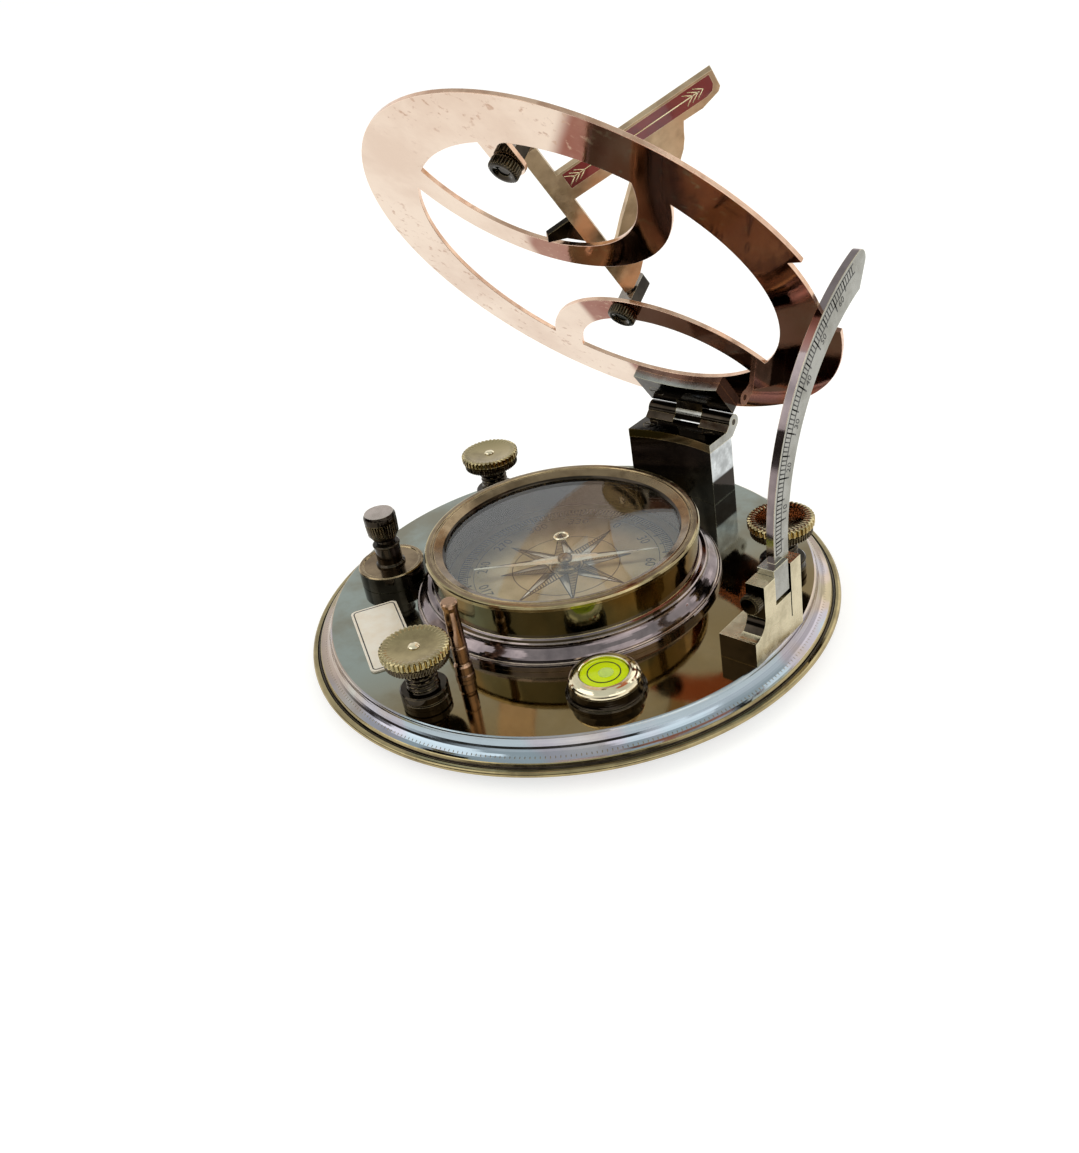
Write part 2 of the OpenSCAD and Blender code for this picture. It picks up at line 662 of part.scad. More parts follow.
module hinge_block() {
    color(bronze) difference() {
        translate([-hinge_half, 0, top_z]) cube([2 * hinge_half, pin_y - block_back, block_h]);
        translate([0, 0, top_z - 1]) cylinder(r = front_r, h = block_h + 2, $fn = 180);
        for (p = fastener_places) fastener_hole(p, plate_wall + fastener_bite + 0.3);
        leaf_screw_holes(top_z + block_h - leaf_bite, leaf_bite + 1);
    }
}

leaf_screw_d = 2.4;
leaf_head_d = 4.6;
leaf_bite = 6;
leaf_screw_x = hinge_half - 4.6;
leaf_screw_y = -8;
countersink = 1.1;

module leaf_screw_holes(z, h) {
    for (s = [-1, 1]) translate([s * leaf_screw_x, pin_y + leaf_screw_y, z])
        cylinder(d = leaf_screw_d + 0.1, h = h, $fn = 32);
}

// A leaf in the pin's frame, lying under the pin; middle says which knuckle it has
module leaf(middle, hollow_y) {
    gap = 0.15;
    half = knuckle_len / 2;
    curl = [[-4.2, -leaf_gap - eps], [-4.2, -leaf_gap - leaf_t], [-1.2, -leaf_gap - leaf_t],
        [1.7, -1.7], [0, 0],
        [-knuckle_d / 2, 0]];
    difference() {
        union() {
            translate([-hinge_half, -20, -leaf_gap - leaf_t]) cube([2 * hinge_half, 17.7, leaf_t]);
            for (s = middle ? [0] : [-1, 1])
                translate([middle ? -half : s * (half + gap + hinge_half) / 2, 0, 0])
                    rotate([90, 0, 90]) {
                        len = middle ? 2 * half : hinge_half - half - gap;
                        translate([0, 0, middle ? 0 : -len / 2]) {
                            cylinder(d = knuckle_d, h = len);
                            linear_extrude(len) polygon(curl);
                        }
                    }
        }
        translate([0, hollow_y, -10]) cylinder(r = front_r, h = 20, $fn = 180);
        translate([-20, 0, 0]) rotate([0, 90, 0])
            cylinder(d = pin_d + (middle ? 2 * run_fit : 0), h = 40);
        for (s = [-1, 1]) translate([s * leaf_screw_x, leaf_screw_y, -leaf_gap - leaf_t - 1]) {
            cylinder(d = leaf_screw_d + 0.1, h = leaf_t + 2, $fn = 32);
            translate([0, 0, 1 + leaf_t - countersink])
                cylinder(d1 = leaf_screw_d, d2 = leaf_head_d + 0.1,
                h = countersink + eps, $fn = 48);
        }
    }
}

// A countersunk screw, its head's face at zero and its shank pointing down
module leaf_screw(len) {
    difference() {
        rotate_extrude($fn = 48)
            polygon([[0, 0], [leaf_head_d / 2 - 0.05, -0.05], [leaf_screw_d / 2, -countersink],
            [leaf_screw_d / 2, -len], [0, -len]]);
        translate([-leaf_head_d, -0.3, -0.5]) cube([2 * leaf_head_d, 0.6, 1]);
    }
}

module lower_leaf() {
    color(bronze) translate([0, pin_y, pin_z]) leaf(false, -pin_y);
}

module lower_leaf_screws() {
    color(bronze) for (s = [-1, 1])
        translate([s * leaf_screw_x, pin_y + leaf_screw_y, pin_z - leaf_gap])
            leaf_screw(leaf_t + leaf_bite - 0.5);
}

module hinge_pin() {
    color(bronze) translate([-hinge_half, pin_y, pin_z]) rotate([0, 90, 0])
        cylinder(d = pin_d, h = 2 * hinge_half);
}

module upper_leaf() {
    color(bronze) tilted() mirror([0, 0, 1]) leaf(true, -ring_reach);
}

module upper_leaf_screws() {
    color(bronze) tilted() for (s = [-1, 1]) translate([s * leaf_screw_x, leaf_screw_y, leaf_gap])
        mirror([0, 0, 1]) leaf_screw(leaf_t + ring_t - 0.1);
}

/* Hour ring */

loop_high_r = ring_bore_r - 8.9;
loop_high_y = -3.2 - loop_high_r;
loop_low_r = ring_bore_r - 10.5;
loop_low_y = 13.5 + loop_low_r;
loop_w = 8.7;
post_top = ring_bore_r - post_inset;
post_low = loop_low_y - loop_low_r + post_margin;
arrow_len = ring_bore_r - arrow_short;
lug_r = 4.6;
stud_d = 3;

// A band of a circle, kept inside the ring's bore
module loop_band(y, r, w) {
    intersection() {
        difference() {
            translate([0, y, 0]) cylinder(r = r, h = ring_t, $fn = 180);
            translate([0, y, -1]) cylinder(r = r - w, h = ring_t + 2, $fn = 180);
        }
        cylinder(r = ring_bore_r + 1, h = ring_t, $fn = 180);
    }
}

module hour_ring() {
    color(copper) on_ring() difference() {
        union() {
            difference() {
                cylinder(r = ring_r, h = ring_t, $fn = 240);
                translate([0, 0, -1]) cylinder(r = ring_bore_r, h = ring_t + 2, $fn = 180);
            }
            loop_band(loop_high_y, loop_high_r, loop_w);
            loop_band(loop_low_y, loop_low_r, loop_w + 0.3);
            translate([0, -post_top, 0]) cylinder(r = lug_r, h = ring_t);
            translate([-lug_r, -ring_bore_r - 2, 0])
                cube([2 * lug_r, ring_bore_r + 2 - post_top, ring_t]);
        }
        intersection() {
            difference() {
                translate([0, 0, -1]) cylinder(r = ring_r + 5, h = ring_t + 2);
                translate([0, 0, -2]) cylinder(r = notch_r, h = ring_t + 4, $fn = 180);
            }
            translate([0, 0, -1]) linear_extrude(ring_t + 2) polygon([[0, 0],
                100 * [cos(notch_low), -sin(notch_low)],
                    [100, 0], 100 * [cos(notch_top), -sin(notch_top)]]);
        }
        for (y = [-post_top, post_low]) translate([0, y, -1])
            cylinder(d = stud_d, h = ring_t + 2, $fn = 48);
        for (s = [-1, 1]) translate([s * leaf_screw_x, ring_reach + leaf_screw_y, -1])
            cylinder(d = leaf_screw_d + 0.1, h = ring_t + 2, $fn = 32);
    }
}

/* Gnomon */

post_l = 4.4;
post_w = 4.4;
post_round = 0.8;
pivot_d = 1.4;
pivot_len = 2.4;
bar_gap = 0.6;

// A square post with its top's edges rounded, its stud through the ring and a pivot hole on one side
module gnomon_post(side) {
    color(bronze) difference() {
        union() {
            translate([-post_w / 2, -post_l / 2, ring_t])
                cube([post_w, post_l, post_h - ring_t - post_round]);
            translate([-post_w / 2 + post_round, -post_l / 2, ring_t])
                cube([post_w - 2 * post_round, post_l, post_h - ring_t]);
            for (s = [-1, 1]) translate([s * (post_w / 2 - post_round), -post_l / 2, post_h - post_round])
                rotate([-90, 0, 0]) cylinder(r = post_round, h = post_l, $fn = 32);
            translate([0, 0, -nut_h + 0.8]) cylinder(d = stud_d, h = nut_h + ring_t, $fn = 48);
        }
        translate([0, side > 0 ? post_l / 2 - pivot_len : -post_l / 2 - 1, pivot_h]) rotate([-90, 0, 0])
            cylinder(d = pivot_d + 2 * run_fit, h = pivot_len + 1, $fn = 48);
    }
}

module gnomon_post_upper() { on_ring() translate([0, -post_top, 0]) gnomon_post(1); }
module gnomon_post_lower() { on_ring() translate([0, post_low, 0]) gnomon_post(-1); }

module gnomon_nuts() {
    color(bronze) on_ring() for (y = [-post_top, post_low]) translate([0, y, -nut_h]) difference() {
        union() {
            translate([0, 0, 0.5]) knurled_band(nut_d, nut_h - 1.2, 30, 0.4);
            cylinder(d = nut_d - 1.4, h = nut_h);
        }
        translate([0, 0, -1]) cylinder(d = stud_d, h = nut_h + 2, $fn = 48);
        translate([0, 0, -eps]) cylinder(d1 = nut_d - 3, d2 = stud_d, h = 0.8, $fn = 48);
    }
}

bar_in = -1;
bar_out = 3.3;
bar_top = post_top - post_l / 2 - bar_gap;
bar_low = -(post_low - post_l / 2 - bar_gap);
arrow_low = 22;
arrow_high = 31.1;

// The sheet's outline: x is up from the pivot, y is along it towards the low post
function gnomon_outline() = concat(
    [[bar_in, -bar_top], [bar_out, -bar_top], [bar_out, -arrow_high]],
    [[arrow_len, -arrow_high], [arrow_len - 0.1, -arrow_low - 3.8], [arrow_len - 1, -arrow_low - 2.7],
     [arrow_len - 6, -arrow_low - 1.1], [35.2, -arrow_low - 1.2]],
    [[34.2, -21], [33.3, -18.7], [31.8, -16], [29.8, -13.6], [8.6, 7.4], [5.4, 11.5],
     [2.4, -bar_low - 0.6], [1.6, -bar_low], [bar_in, -bar_low]]);

// The open triangle between the bar, the arrow and the curved limb
function gnomon_window() = concat(
    [[bar_out, -arrow_low], [bar_out, -0.7], [5.7, -3], [9.8, -8], [14.6, -13.4], [17.6, -16.7],
     [19.5, -19.6], [20.1, -arrow_low]]);

module gnomon() {
    color(pale) on_gnomon() {
        difference() {
            translate([0, 0, -sheet_t / 2]) linear_extrude(sheet_t) polygon(gnomon_outline());
            translate([0, 0, -sheet_t]) linear_extrude(2 * sheet_t) polygon(gnomon_window());
            translate([0, 0, enamel_t - sheet_t / 2 - 1]) linear_extrude(1) enamel_outline();
        }
        for (y = [-bar_top - bar_gap - pivot_len + 0.2, -bar_low - 1]) translate([0, y, 0])
            rotate([-90, 0, 0])
            cylinder(d = pivot_d, h = bar_gap + pivot_len + 0.8, $fn = 48);
    }
}

enamel_t = 0.3;
enamel_high = arrow_high - 0.7;
enamel_low = arrow_low + 3.3;

// The enamelled band along the arrow, with a cut corner at its end
module enamel_outline() {
    polygon([[bar_out + 1.1, -enamel_high], [arrow_len - 1.2, -enamel_high],
        [arrow_len - 1.3, -enamel_low - 2.2],
        [arrow_len - 2.2, -enamel_low - 0.6], [arrow_len - 3.9, -enamel_low],
            [bar_out + 1.1, -enamel_low]]);
}

module gnomon_enamel() {
    color([0.5, 0.12, 0.13]) on_gnomon() translate([0, 0, -sheet_t / 2]) linear_extrude(enamel_t)
        enamel_outline();
}

module gnomon_tail() {
    color(bronze) on_gnomon() translate([0, 0, -sheet_t / 2]) linear_extrude(sheet_t)
        polygon([[bar_in, -17.4], [bar_in, -8.6], [-4.2, -12.8], [-8.6, -15], [-7.6, -17.2]]);
}

/* Latitude arc and bracket */

foot_h = 6.9;
foot_w = 10.5;
pocket_y0 = 0;
pocket_y1 = 6.8;
tongue_gap = 0.1;
tongue_drop = 3.7;
slit_w = 0.5;
arc_base = top_z + bracket_h + 1.1;

module arc_bracket() {
    cove_r = 5;
    color(brass) difference() {
        union() {
            translate([bracket_x1 - foot_w, foot_y0, top_z]) cube([foot_w, foot_y1 - foot_y0, foot_h]);
            translate([bracket_x0, foot_y0 + cove_r, top_z])
                cube([bracket_t, foot_y1 - foot_y0 - cove_r, bracket_h]);
            difference() {
                translate([bracket_x0, foot_y0 + 0.6, top_z])
                    cube([bracket_t, cove_r, foot_h + cove_r - 0.6]);
                translate([bracket_x0 - 1, foot_y0, top_z + foot_h + cove_r]) rotate([0, 90, 0])
                    cylinder(r = cove_r, h = bracket_t + 2);
            }
        }
        translate([bracket_x0 - 1, pocket_y0, pivot_z - tongue_drop - 0.15])
            cube([bracket_t + 2, pocket_y1 - pocket_y0, bracket_h]);
        translate([bracket_x0 - 1, pocket_y1 - eps, top_z + 4.9])
            cube([bracket_t + 2, slit_w, bracket_h]);
        translate([pivot_x, foot_y1 + 1, pivot_z]) rotate([90, 0, 0])
            cylinder(d = clamp_d + 2 * run_fit, h = foot_y1 - foot_y0 + 2, $fn = 48);
        for (p = fastener_places) fastener_hole(p, plate_wall + fastener_bite + 0.3);
    }
}

clamp_knob_d = 5.3;
clamp_knob_h = 3;
clamp_out = 0.2;

module clamp_screw() {
    near = foot_y0 + 5;
    color(bronze) translate([pivot_x, near - clamp_out - clamp_knob_h + 0.6, pivot_z]) rotate([-90, 0, 0])
        cylinder(d = clamp_d, h = foot_y1 - near + clamp_out + clamp_knob_h - 1.2, $fn = 48);
}

module clamp_knob() {
    near = foot_y0 + 5;
    color(bronze) translate([pivot_x, near - clamp_out - clamp_knob_h, pivot_z]) rotate([-90, 0, 0])
        difference() {
        union() {
            translate([0, 0, 0.4]) knurled_band(clamp_knob_d, clamp_knob_h - 0.8, 24, 0.3);
            cylinder(d = clamp_knob_d - 1, h = clamp_knob_h);
        }
        translate([0, 0, 0.6]) cylinder(d = clamp_d, h = clamp_knob_h, $fn = 48);
    }
}

arc_aside = 0.6;
nose_r = 2.5;
nose_past = 1.5;

// The arc: a strip between two circles with a round nose, on a clamped tongue; points are (y, z)
module latitude_arc() {
    x0 = arc_x - arc_t / 2;
    tongue_t = bracket_t - 0.5;
    pin = [pin_y, pin_z];
    centre = pin + [arc_aside, arc_rise];
    out = [-cos(arc_top + nose_past), sin(arc_top + nose_past)];
    nose = centre + (arc_r - nose_r) * out;
    corner = pin + arc_bore_r * [-cos(arc_top), sin(arc_top)];
    span = nose - corner;
    slope = atan2(span[1], span[0]) - asin(nose_r / norm(span));
    touch = corner + sqrt(norm(span) * norm(span) - nose_r * nose_r) * [cos(slope), sin(slope)];
    color(pale) difference() {
        union() {
            intersection() {
                difference() {
                    translate([x0, centre[0], centre[1]]) rotate([0, 90, 0])
                        cylinder(r = arc_r, h = arc_t, $fn = 240);
                    translate([x0 - 1, pin_y, pin_z]) rotate([0, 90, 0])
                        cylinder(r = arc_bore_r, h = arc_t + 2, $fn = 240);
                }
                translate([x0 - 1, 0, 0]) rotate([90, 0, 90]) linear_extrude(arc_t + 2)
                    polygon([pin, corner,
                    touch, nose, nose + arc_r * out, [-arc_r, pin_z + 2 * arc_r], [-arc_r, arc_base],
                    [pin_y, arc_base]]);
            }
            translate([x0, nose[0], nose[1]]) rotate([0, 90, 0]) cylinder(r = nose_r, h = arc_t);
            translate([pivot_x - tongue_t / 2, pocket_y0 + tongue_gap, pivot_z])
                cube([tongue_t, pocket_y1 - pocket_y0 - 2 * tongue_gap, arc_base - pivot_z + 0.6]);
            intersection() {
                translate([pivot_x - tongue_t / 2, pocket_y0 + tongue_gap, pivot_z - tongue_drop])
                    cube([tongue_t, pocket_y1 - pocket_y0 - 2 * tongue_gap, tongue_drop + 1]);
                translate([pivot_x, pocket_y1, pivot_z]) rotate([90, 0, 0])
                    cylinder(r = tongue_drop, h = pocket_y1);
            }
        }
        translate([pivot_x, pocket_y1 + 1, pivot_z]) rotate([90, 0, 0])
            cylinder(d = clamp_d + 2 * run_fit, h = pocket_y1 + 2, $fn = 48);
    }
}

base_plate();
screw_bosses();
levelling_shaft_1();
levelling_shaft_2();
levelling_shaft_3();
levelling_head_1();
levelling_head_2();
levelling_head_3();
compass_case();
dial_plate();
compass_glass();
bezel();
needle_pin();
needle();
needle_cap();
needle_lifter();
lock_drum();
lock_column();
lock_knob();
lock_lever();
lever_fulcrum();
lever_pin();
rest_post();
level_cup();
level_ring();
level_vial();
label_plate();
plate_screws();
hinge_block();
lower_leaf();
lower_leaf_screws();
hinge_pin();
upper_leaf();
upper_leaf_screws();
hour_ring();
gnomon_post_upper();
gnomon_post_lower();
gnomon_nuts();
gnomon();
gnomon_enamel();
gnomon_tail();
arc_bracket();
clamp_screw();
clamp_knob();
latitude_arc();
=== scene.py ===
"""Looks of an equinoctial sundial compass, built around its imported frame.

Lengths in this file are millimetres until a mesh is written, in metres. The frame's axes are
+Z up, +Y towards the hinge of the hour ring and +X towards the latitude arc.
"""
from __future__ import annotations

import json
import logging
import math
from dataclasses import dataclass, field
from enum import Enum
from typing import Any, Callable, Dict, List, Optional, Sequence, Tuple

import bmesh
import bpy
import numpy as np
from mathutils import Matrix

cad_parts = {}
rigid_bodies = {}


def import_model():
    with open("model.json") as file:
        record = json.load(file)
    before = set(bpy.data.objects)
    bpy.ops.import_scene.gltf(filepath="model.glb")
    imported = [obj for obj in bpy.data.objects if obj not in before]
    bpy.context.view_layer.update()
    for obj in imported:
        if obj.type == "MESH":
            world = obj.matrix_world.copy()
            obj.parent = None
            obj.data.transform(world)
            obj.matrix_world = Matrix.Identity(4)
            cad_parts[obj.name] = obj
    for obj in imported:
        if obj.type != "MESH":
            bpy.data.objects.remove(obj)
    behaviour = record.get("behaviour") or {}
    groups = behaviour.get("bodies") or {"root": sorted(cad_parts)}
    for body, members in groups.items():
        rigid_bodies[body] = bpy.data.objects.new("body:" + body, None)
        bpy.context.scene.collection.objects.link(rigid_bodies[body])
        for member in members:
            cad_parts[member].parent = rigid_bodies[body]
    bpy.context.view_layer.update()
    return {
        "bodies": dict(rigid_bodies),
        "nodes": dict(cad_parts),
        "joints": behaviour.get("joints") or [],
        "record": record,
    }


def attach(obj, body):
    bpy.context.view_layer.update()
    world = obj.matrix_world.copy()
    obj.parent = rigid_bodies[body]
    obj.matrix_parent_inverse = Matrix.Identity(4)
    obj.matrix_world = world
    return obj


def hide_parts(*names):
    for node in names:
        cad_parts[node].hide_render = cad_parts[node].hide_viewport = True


LOG = logging.getLogger("sundial_compass")
MM = 0.001
TURNED = "turned"
Array = np.ndarray


class Slot(Enum):
    """The record's material slots. New pieces are handed one, which is not used; their finish is
    given apart.
    """

    AGED_BRASS = "aged_brass"
    BRIGHT_BRASS = "bright_brass"
    BLACK_BRONZE = "black_bronze"
    COPPER = "copper"
    PALE_BRASS = "pale_brass"
    GLASS = "glass"
    VIAL = "vial"
    LABEL = "label"
    NEEDLE_STEEL = "needle_steel"


# ---------------------------------------------------------------- finishes


def linear(code: str) -> Tuple[float, float, float, float]:
    """Turns an sRGB hex colour into linear red, green, blue and alpha.

    Args:
        code: Six hex digits after a hash.

    Returns:
        The linear colour: each share c is (c + 0.055) / 1.055 to the power 2.4.
    """
    share = np.array([int(code[i : i + 2], 16) / 255 for i in (1, 3, 5)])
    flat = np.where(share <= 0.04045, share / 12.92, ((share + 0.055) / 1.055) ** 2.4)
    return (*[float(c) for c in flat], 1.0)


def add(
    tree: bpy.types.NodeTree, kind: str, inputs: Dict[Any, Any],
    props: Optional[Dict[str, Any]] = None
) -> bpy.types.Node:
    """Adds one node with its settings and links.

    Args:
        tree: The node tree.
        kind: The node's type name.
        inputs: Socket name or number to a constant, or to the output that feeds it.
        props: Settings of the node itself.

    Returns:
        The new node.
    """
    node = tree.nodes.new(kind)
    for key, value in (props or {}).items():
        setattr(node, key, value)
    for key, value in inputs.items():
        if isinstance(value, bpy.types.NodeSocket):
            tree.links.new(value, node.inputs[key])
        else:
            node.inputs[key].default_value = value
    return node


def blank(name: str) -> Tuple[bpy.types.Material, bpy.types.NodeTree]:
    """Makes an empty node material and returns it with its tree."""
    material = bpy.data.materials.new(name)
    material.use_nodes = True
    material.node_tree.nodes.clear()
    return material, material.node_tree


Span = Tuple[float, float]


def clouds(
    tree: bpy.types.NodeTree,
    size_mm: float,
    span: Span = (0.35, 0.7),
    share: Span = (0.0, 1.0),
    detail: float = 5.0,
    stretch: Tuple[float, float, float] = (1.0, 1.0, 1.0),
) -> bpy.types.NodeSocket:
    """Composes soft clouds: noise over Object coordinates, spread smoothly between two shares.

    Args:
        tree: The node tree.
        size_mm: Width of the largest clouds.
        span: Noise values at which the clouds begin and are full.
        share: Values outside the clouds and inside them.
        detail: Number of finer layers.
        stretch: How much each axis is compressed before the noise is read.

    Returns:
        The output that carries the share.
    """
    place = add(tree, "ShaderNodeTexCoord", {})
    scaled = add(tree, "ShaderNodeMapping", {"Vector": place.outputs["Object"], "Scale": stretch})
    grain = {
        "Vector": scaled.outputs[0], "Scale": 1 / (size_mm * MM), "Detail": detail, "Roughness": 0.6
    }
    noise = add(tree, "ShaderNodeTexNoise", grain)
    limits = {"From Min": span[0], "From Max": span[1], "To Min": share[0], "To Max": share[1]}
    spread = {"Value": noise.outputs["Fac"], **limits}
    return add(
        tree, "ShaderNodeMapRange", spread, {"interpolation_type": "SMOOTHSTEP"}
    ).outputs["Result"]


def across(
    tree: bpy.types.NodeTree, way: Tuple[float, float, float], span_mm: Span,
    share: Span = (0.0, 1.0)
) -> bpy.types.NodeSocket:
    """Composes a change along one direction.

    Args:
        tree: The node tree.
        way: The direction, by which Object coordinates are multiplied.
        span_mm: Where the change begins and ends along it.
        share: Values before and after the change.

    Returns:
        The output that carries the share.
    """
    place = add(tree, "ShaderNodeTexCoord", {})
    reach = add(
        tree, "ShaderNodeVectorMath", {0: place.outputs["Object"], 1: way},
        {"operation": "DOT_PRODUCT"}
    )
    limits = {
        "From Min": span_mm[0] * MM, "From Max": span_mm[1] * MM, "To Min": share[0],
        "To Max": share[1]
    }
    spread = {"Value": reach.outputs["Value"], **limits}
    return add(
        tree, "ShaderNodeMapRange", spread, {"interpolation_type": "SMOOTHSTEP"}
    ).outputs["Result"]


def overlap(
    tree: bpy.types.NodeTree, shares: Sequence[bpy.types.NodeSocket]
) -> bpy.types.NodeSocket:
    """Gives where several patterns meet: the product of their shares."""
    meeting = shares[0]
    for share in shares[1:]:
        meeting = add(
            tree, "ShaderNodeMath", {0: meeting, 1: share}, {"operation": "MULTIPLY"}
        ).outputs[0]
    return meeting


def worn_edges(tree: bpy.types.NodeTree, width_mm: float) -> bpy.types.NodeSocket:
    """Composes wear: 1 on edges that are rubbed bright and 0 on faces, broken up by clouds.

    The true normal is compared with one that is rounded over the width. Where they differ, there
    is an edge.

    Args:
        tree: The node tree.
        width_mm: Width of the worn edges.

    Returns:
        The output that carries the share.
    """
    rounded_normal = add(
        tree, "ShaderNodeBevel", {"Radius": width_mm * MM}, {"samples": 4}
    ).outputs[0]
    normal = add(tree, "ShaderNodeNewGeometry", {}).outputs["Normal"]
    both = {0: rounded_normal, 1: normal}
    same = add(tree, "ShaderNodeVectorMath", both, {"operation": "DOT_PRODUCT"}).outputs["Value"]
    limits = {"Value": same, "From Min": 0.995, "From Max": 0.90, "To Min": 0.0, "To Max": 1.0}
    edge = add(
        tree, "ShaderNodeMapRange", limits, {"interpolation_type": "SMOOTHSTEP"}
    ).outputs["Result"]
    return overlap(tree, [edge, clouds(tree, 3.0, (0.3, 0.6), (0.5, 1.0), 3.0)])


Layer = Tuple[bpy.types.NodeSocket, str]


def layered(tree: bpy.types.NodeTree, ground: str, layers: Sequence[Layer]) -> bpy.types.NodeSocket:
    """Lays colours over a ground, each hiding what is under it by its share."""
    colour: Any = linear(ground)
    for share, code in layers:
        mix = {0: share, 6: colour, 7: linear(code)}
        colour = add(tree, "ShaderNodeMix", mix, {"data_type": "RGBA"}).outputs[2]
    return colour


def uneven(
    tree: bpy.types.NodeTree, waves: Sequence[Tuple[float, float]], lathe_mm: float = 0.0
) -> bpy.types.NodeSocket:
    """Composes an uneven surface from waves, and from the fine rings that a lathe leaves.

    Args:
        tree: The node tree.
        waves: Size and depth of each set of waves, in millimetres.
        lathe_mm: Depth of the lathe's rings, which follow the piece's own radius and height.

    Returns:
        The output that carries the normal.
    """
    normal: Dict[str, bpy.types.NodeSocket] = {}
    for size_mm, depth_mm in waves:
        height = clouds(tree, size_mm, (0.0, 1.0), (0.0, 1.0), 2.0)
        bump = {"Height": height, "Distance": depth_mm * MM, "Strength": 1.0, **normal}
        normal = {"Normal": add(tree, "ShaderNodeBump", bump).outputs[0]}
    if lathe_mm:
        turned = add(tree, "ShaderNodeAttribute", {}, {"attribute_name": TURNED})
        rings = {"Vector": turned.outputs["Vector"], "Scale": 1 / (0.45 * MM), "Detail": 2.0}
        height = add(tree, "ShaderNodeTexNoise", rings).outputs["Fac"]
        bump = {"Height": height, "Distance": lathe_mm * MM, "Strength": 1.0, **normal}
        normal = {"Normal": add(tree, "ShaderNodeBump", bump).outputs[0]}
    return normal["Normal"]


@dataclass(frozen=True)
class Metal:
    """A metal finish: a polished face, a darker film in clouds, and edges worn bright.

    Attributes:
        name: The material's name.
        face: Colour of the polished face.
        film: Colour of the tarnish film.
        edge: Colour of worn edges.
        share: How much of the face the film covers, 0 to 1.
        cloud_mm: Size of the film's clouds.
        smooth: Lowest and highest roughness.
        edge_mm: Width of the worn edges.
        wave_mm: Depth of the polish's slow waves, about 9 mm long.
        grain_mm: Depth of the finest marks, about 0.35 mm apart.
        lathe_mm: Depth of the rings that the lathe left.
        spots: Strength of small oxide spots.
        tints: Colours that heat or age gave the film, in bands.
        tint_mm: Size of the bands.
        tint_share: Strength of the bands.
        turns: Colours that the face changes to by place, each a painted reflection or highlight,
        with directions and where the change begins and ends along them; all of a colour's
        directions must be passed.
    """

    name: str
    face: str
    film: str
    edge: str
    share: float = 0.6
    cloud_mm: float = 14.0
    smooth: Span = (0.07, 0.2)
    edge_mm: float = 0.3
    wave_mm: float = 0.012
    grain_mm: float = 0.0015
    lathe_mm: float = 0.0
    spots: float = 0.0
    tints: Tuple[str, ...] = ()
    tint_mm: float = 24.0
    tint_share: float = 0.6
    turns: Tuple[Tuple[str, Tuple[Tuple[Tuple[float, float, float], Span], ...]], ...] = ()

    def layers(self, tree: bpy.types.NodeTree) -> List[Layer]:
        """Lists the finish's colours from the bottom up, each with the pattern that it covers."""
        laid: List[Layer] = []
        for code, limits in self.turns:
            passed = [across(tree, way, span) for way, span in limits]
            laid.append(
                (overlap(tree, [*passed, clouds(tree, 12.0, (0.2, 0.8), (0.9, 1.0), 3.0)]), code)
            )
        laid.append((clouds(tree, self.cloud_mm, (0.38, 0.66), (0.0, self.share)), self.film))
        for i, code in enumerate(self.tints):
            start = 0.36 + 0.28 * i / len(self.tints)
            band = clouds(tree, self.tint_mm, (start, start + 0.07), (0.0, self.tint_share), 1.0)
            laid.append((band, code))
        if self.spots:
            specks = clouds(tree, 2.6, (0.56, 0.68), (0.0, self.spots), 6.0)
            laid.append(
                (overlap(tree, [specks, clouds(tree, 24.0, (0.45, 0.57), detail=2.0)]), self.film)
            )
        laid.append((worn_edges(tree, self.edge_mm), self.edge))
        return laid

    def build(self) -> bpy.types.Material:
        """Builds the material.

        Returns:
            A metal whose colour and roughness follow clouds of tarnish.
        """
        material, tree = blank(self.name)
        look = {
            "Base Color": layered(tree, self.face, self.layers(tree)),
            "Metallic": 1.0,
            "Roughness": clouds(tree, self.cloud_mm * 0.45, (0.35, 0.7), self.smooth, 6.0),
            "Normal": uneven(tree, ((9.0, self.wave_mm), (0.35, self.grain_mm)), self.lathe_mm),
        }
        shader = add(tree, "ShaderNodeBsdfPrincipled", look)
        add(tree, "ShaderNodeOutputMaterial", {"Surface": shader.outputs[0]})
        return material


@dataclass(frozen=True)
class Enamel:
    """A fired or painted glossy colour over metal, with slow waves and faint clouds.

    Attributes:
        name: The material's name.
        colour: Main colour.
        shade: Colour of the faint clouds.
        rough: Roughness under the gloss.
        coat: Strength of the clear gloss.
    """

    name: str
    colour: str
    shade: str
    rough: float = 0.35
    coat: float = 0.6

    def build(self) -> bpy.types.Material:
        """Builds the material: two close shades in clouds under a clear coat."""
        material, tree = blank(self.name)
        look = {
            "Base Color": layered(tree, self.colour, [(clouds(tree, 6.0, detail=6.0), self.shade)]),
            "Roughness": self.rough,
            "Coat Weight": self.coat,
            "Coat Roughness": 0.06,
            "Normal": uneven(tree, ((4.0, 0.01), (0.5, 0.002))),
        }
        shader = add(tree, "ShaderNodeBsdfPrincipled", look)
        add(tree, "ShaderNodeOutputMaterial", {"Surface": shader.outputs[0]})
        return material


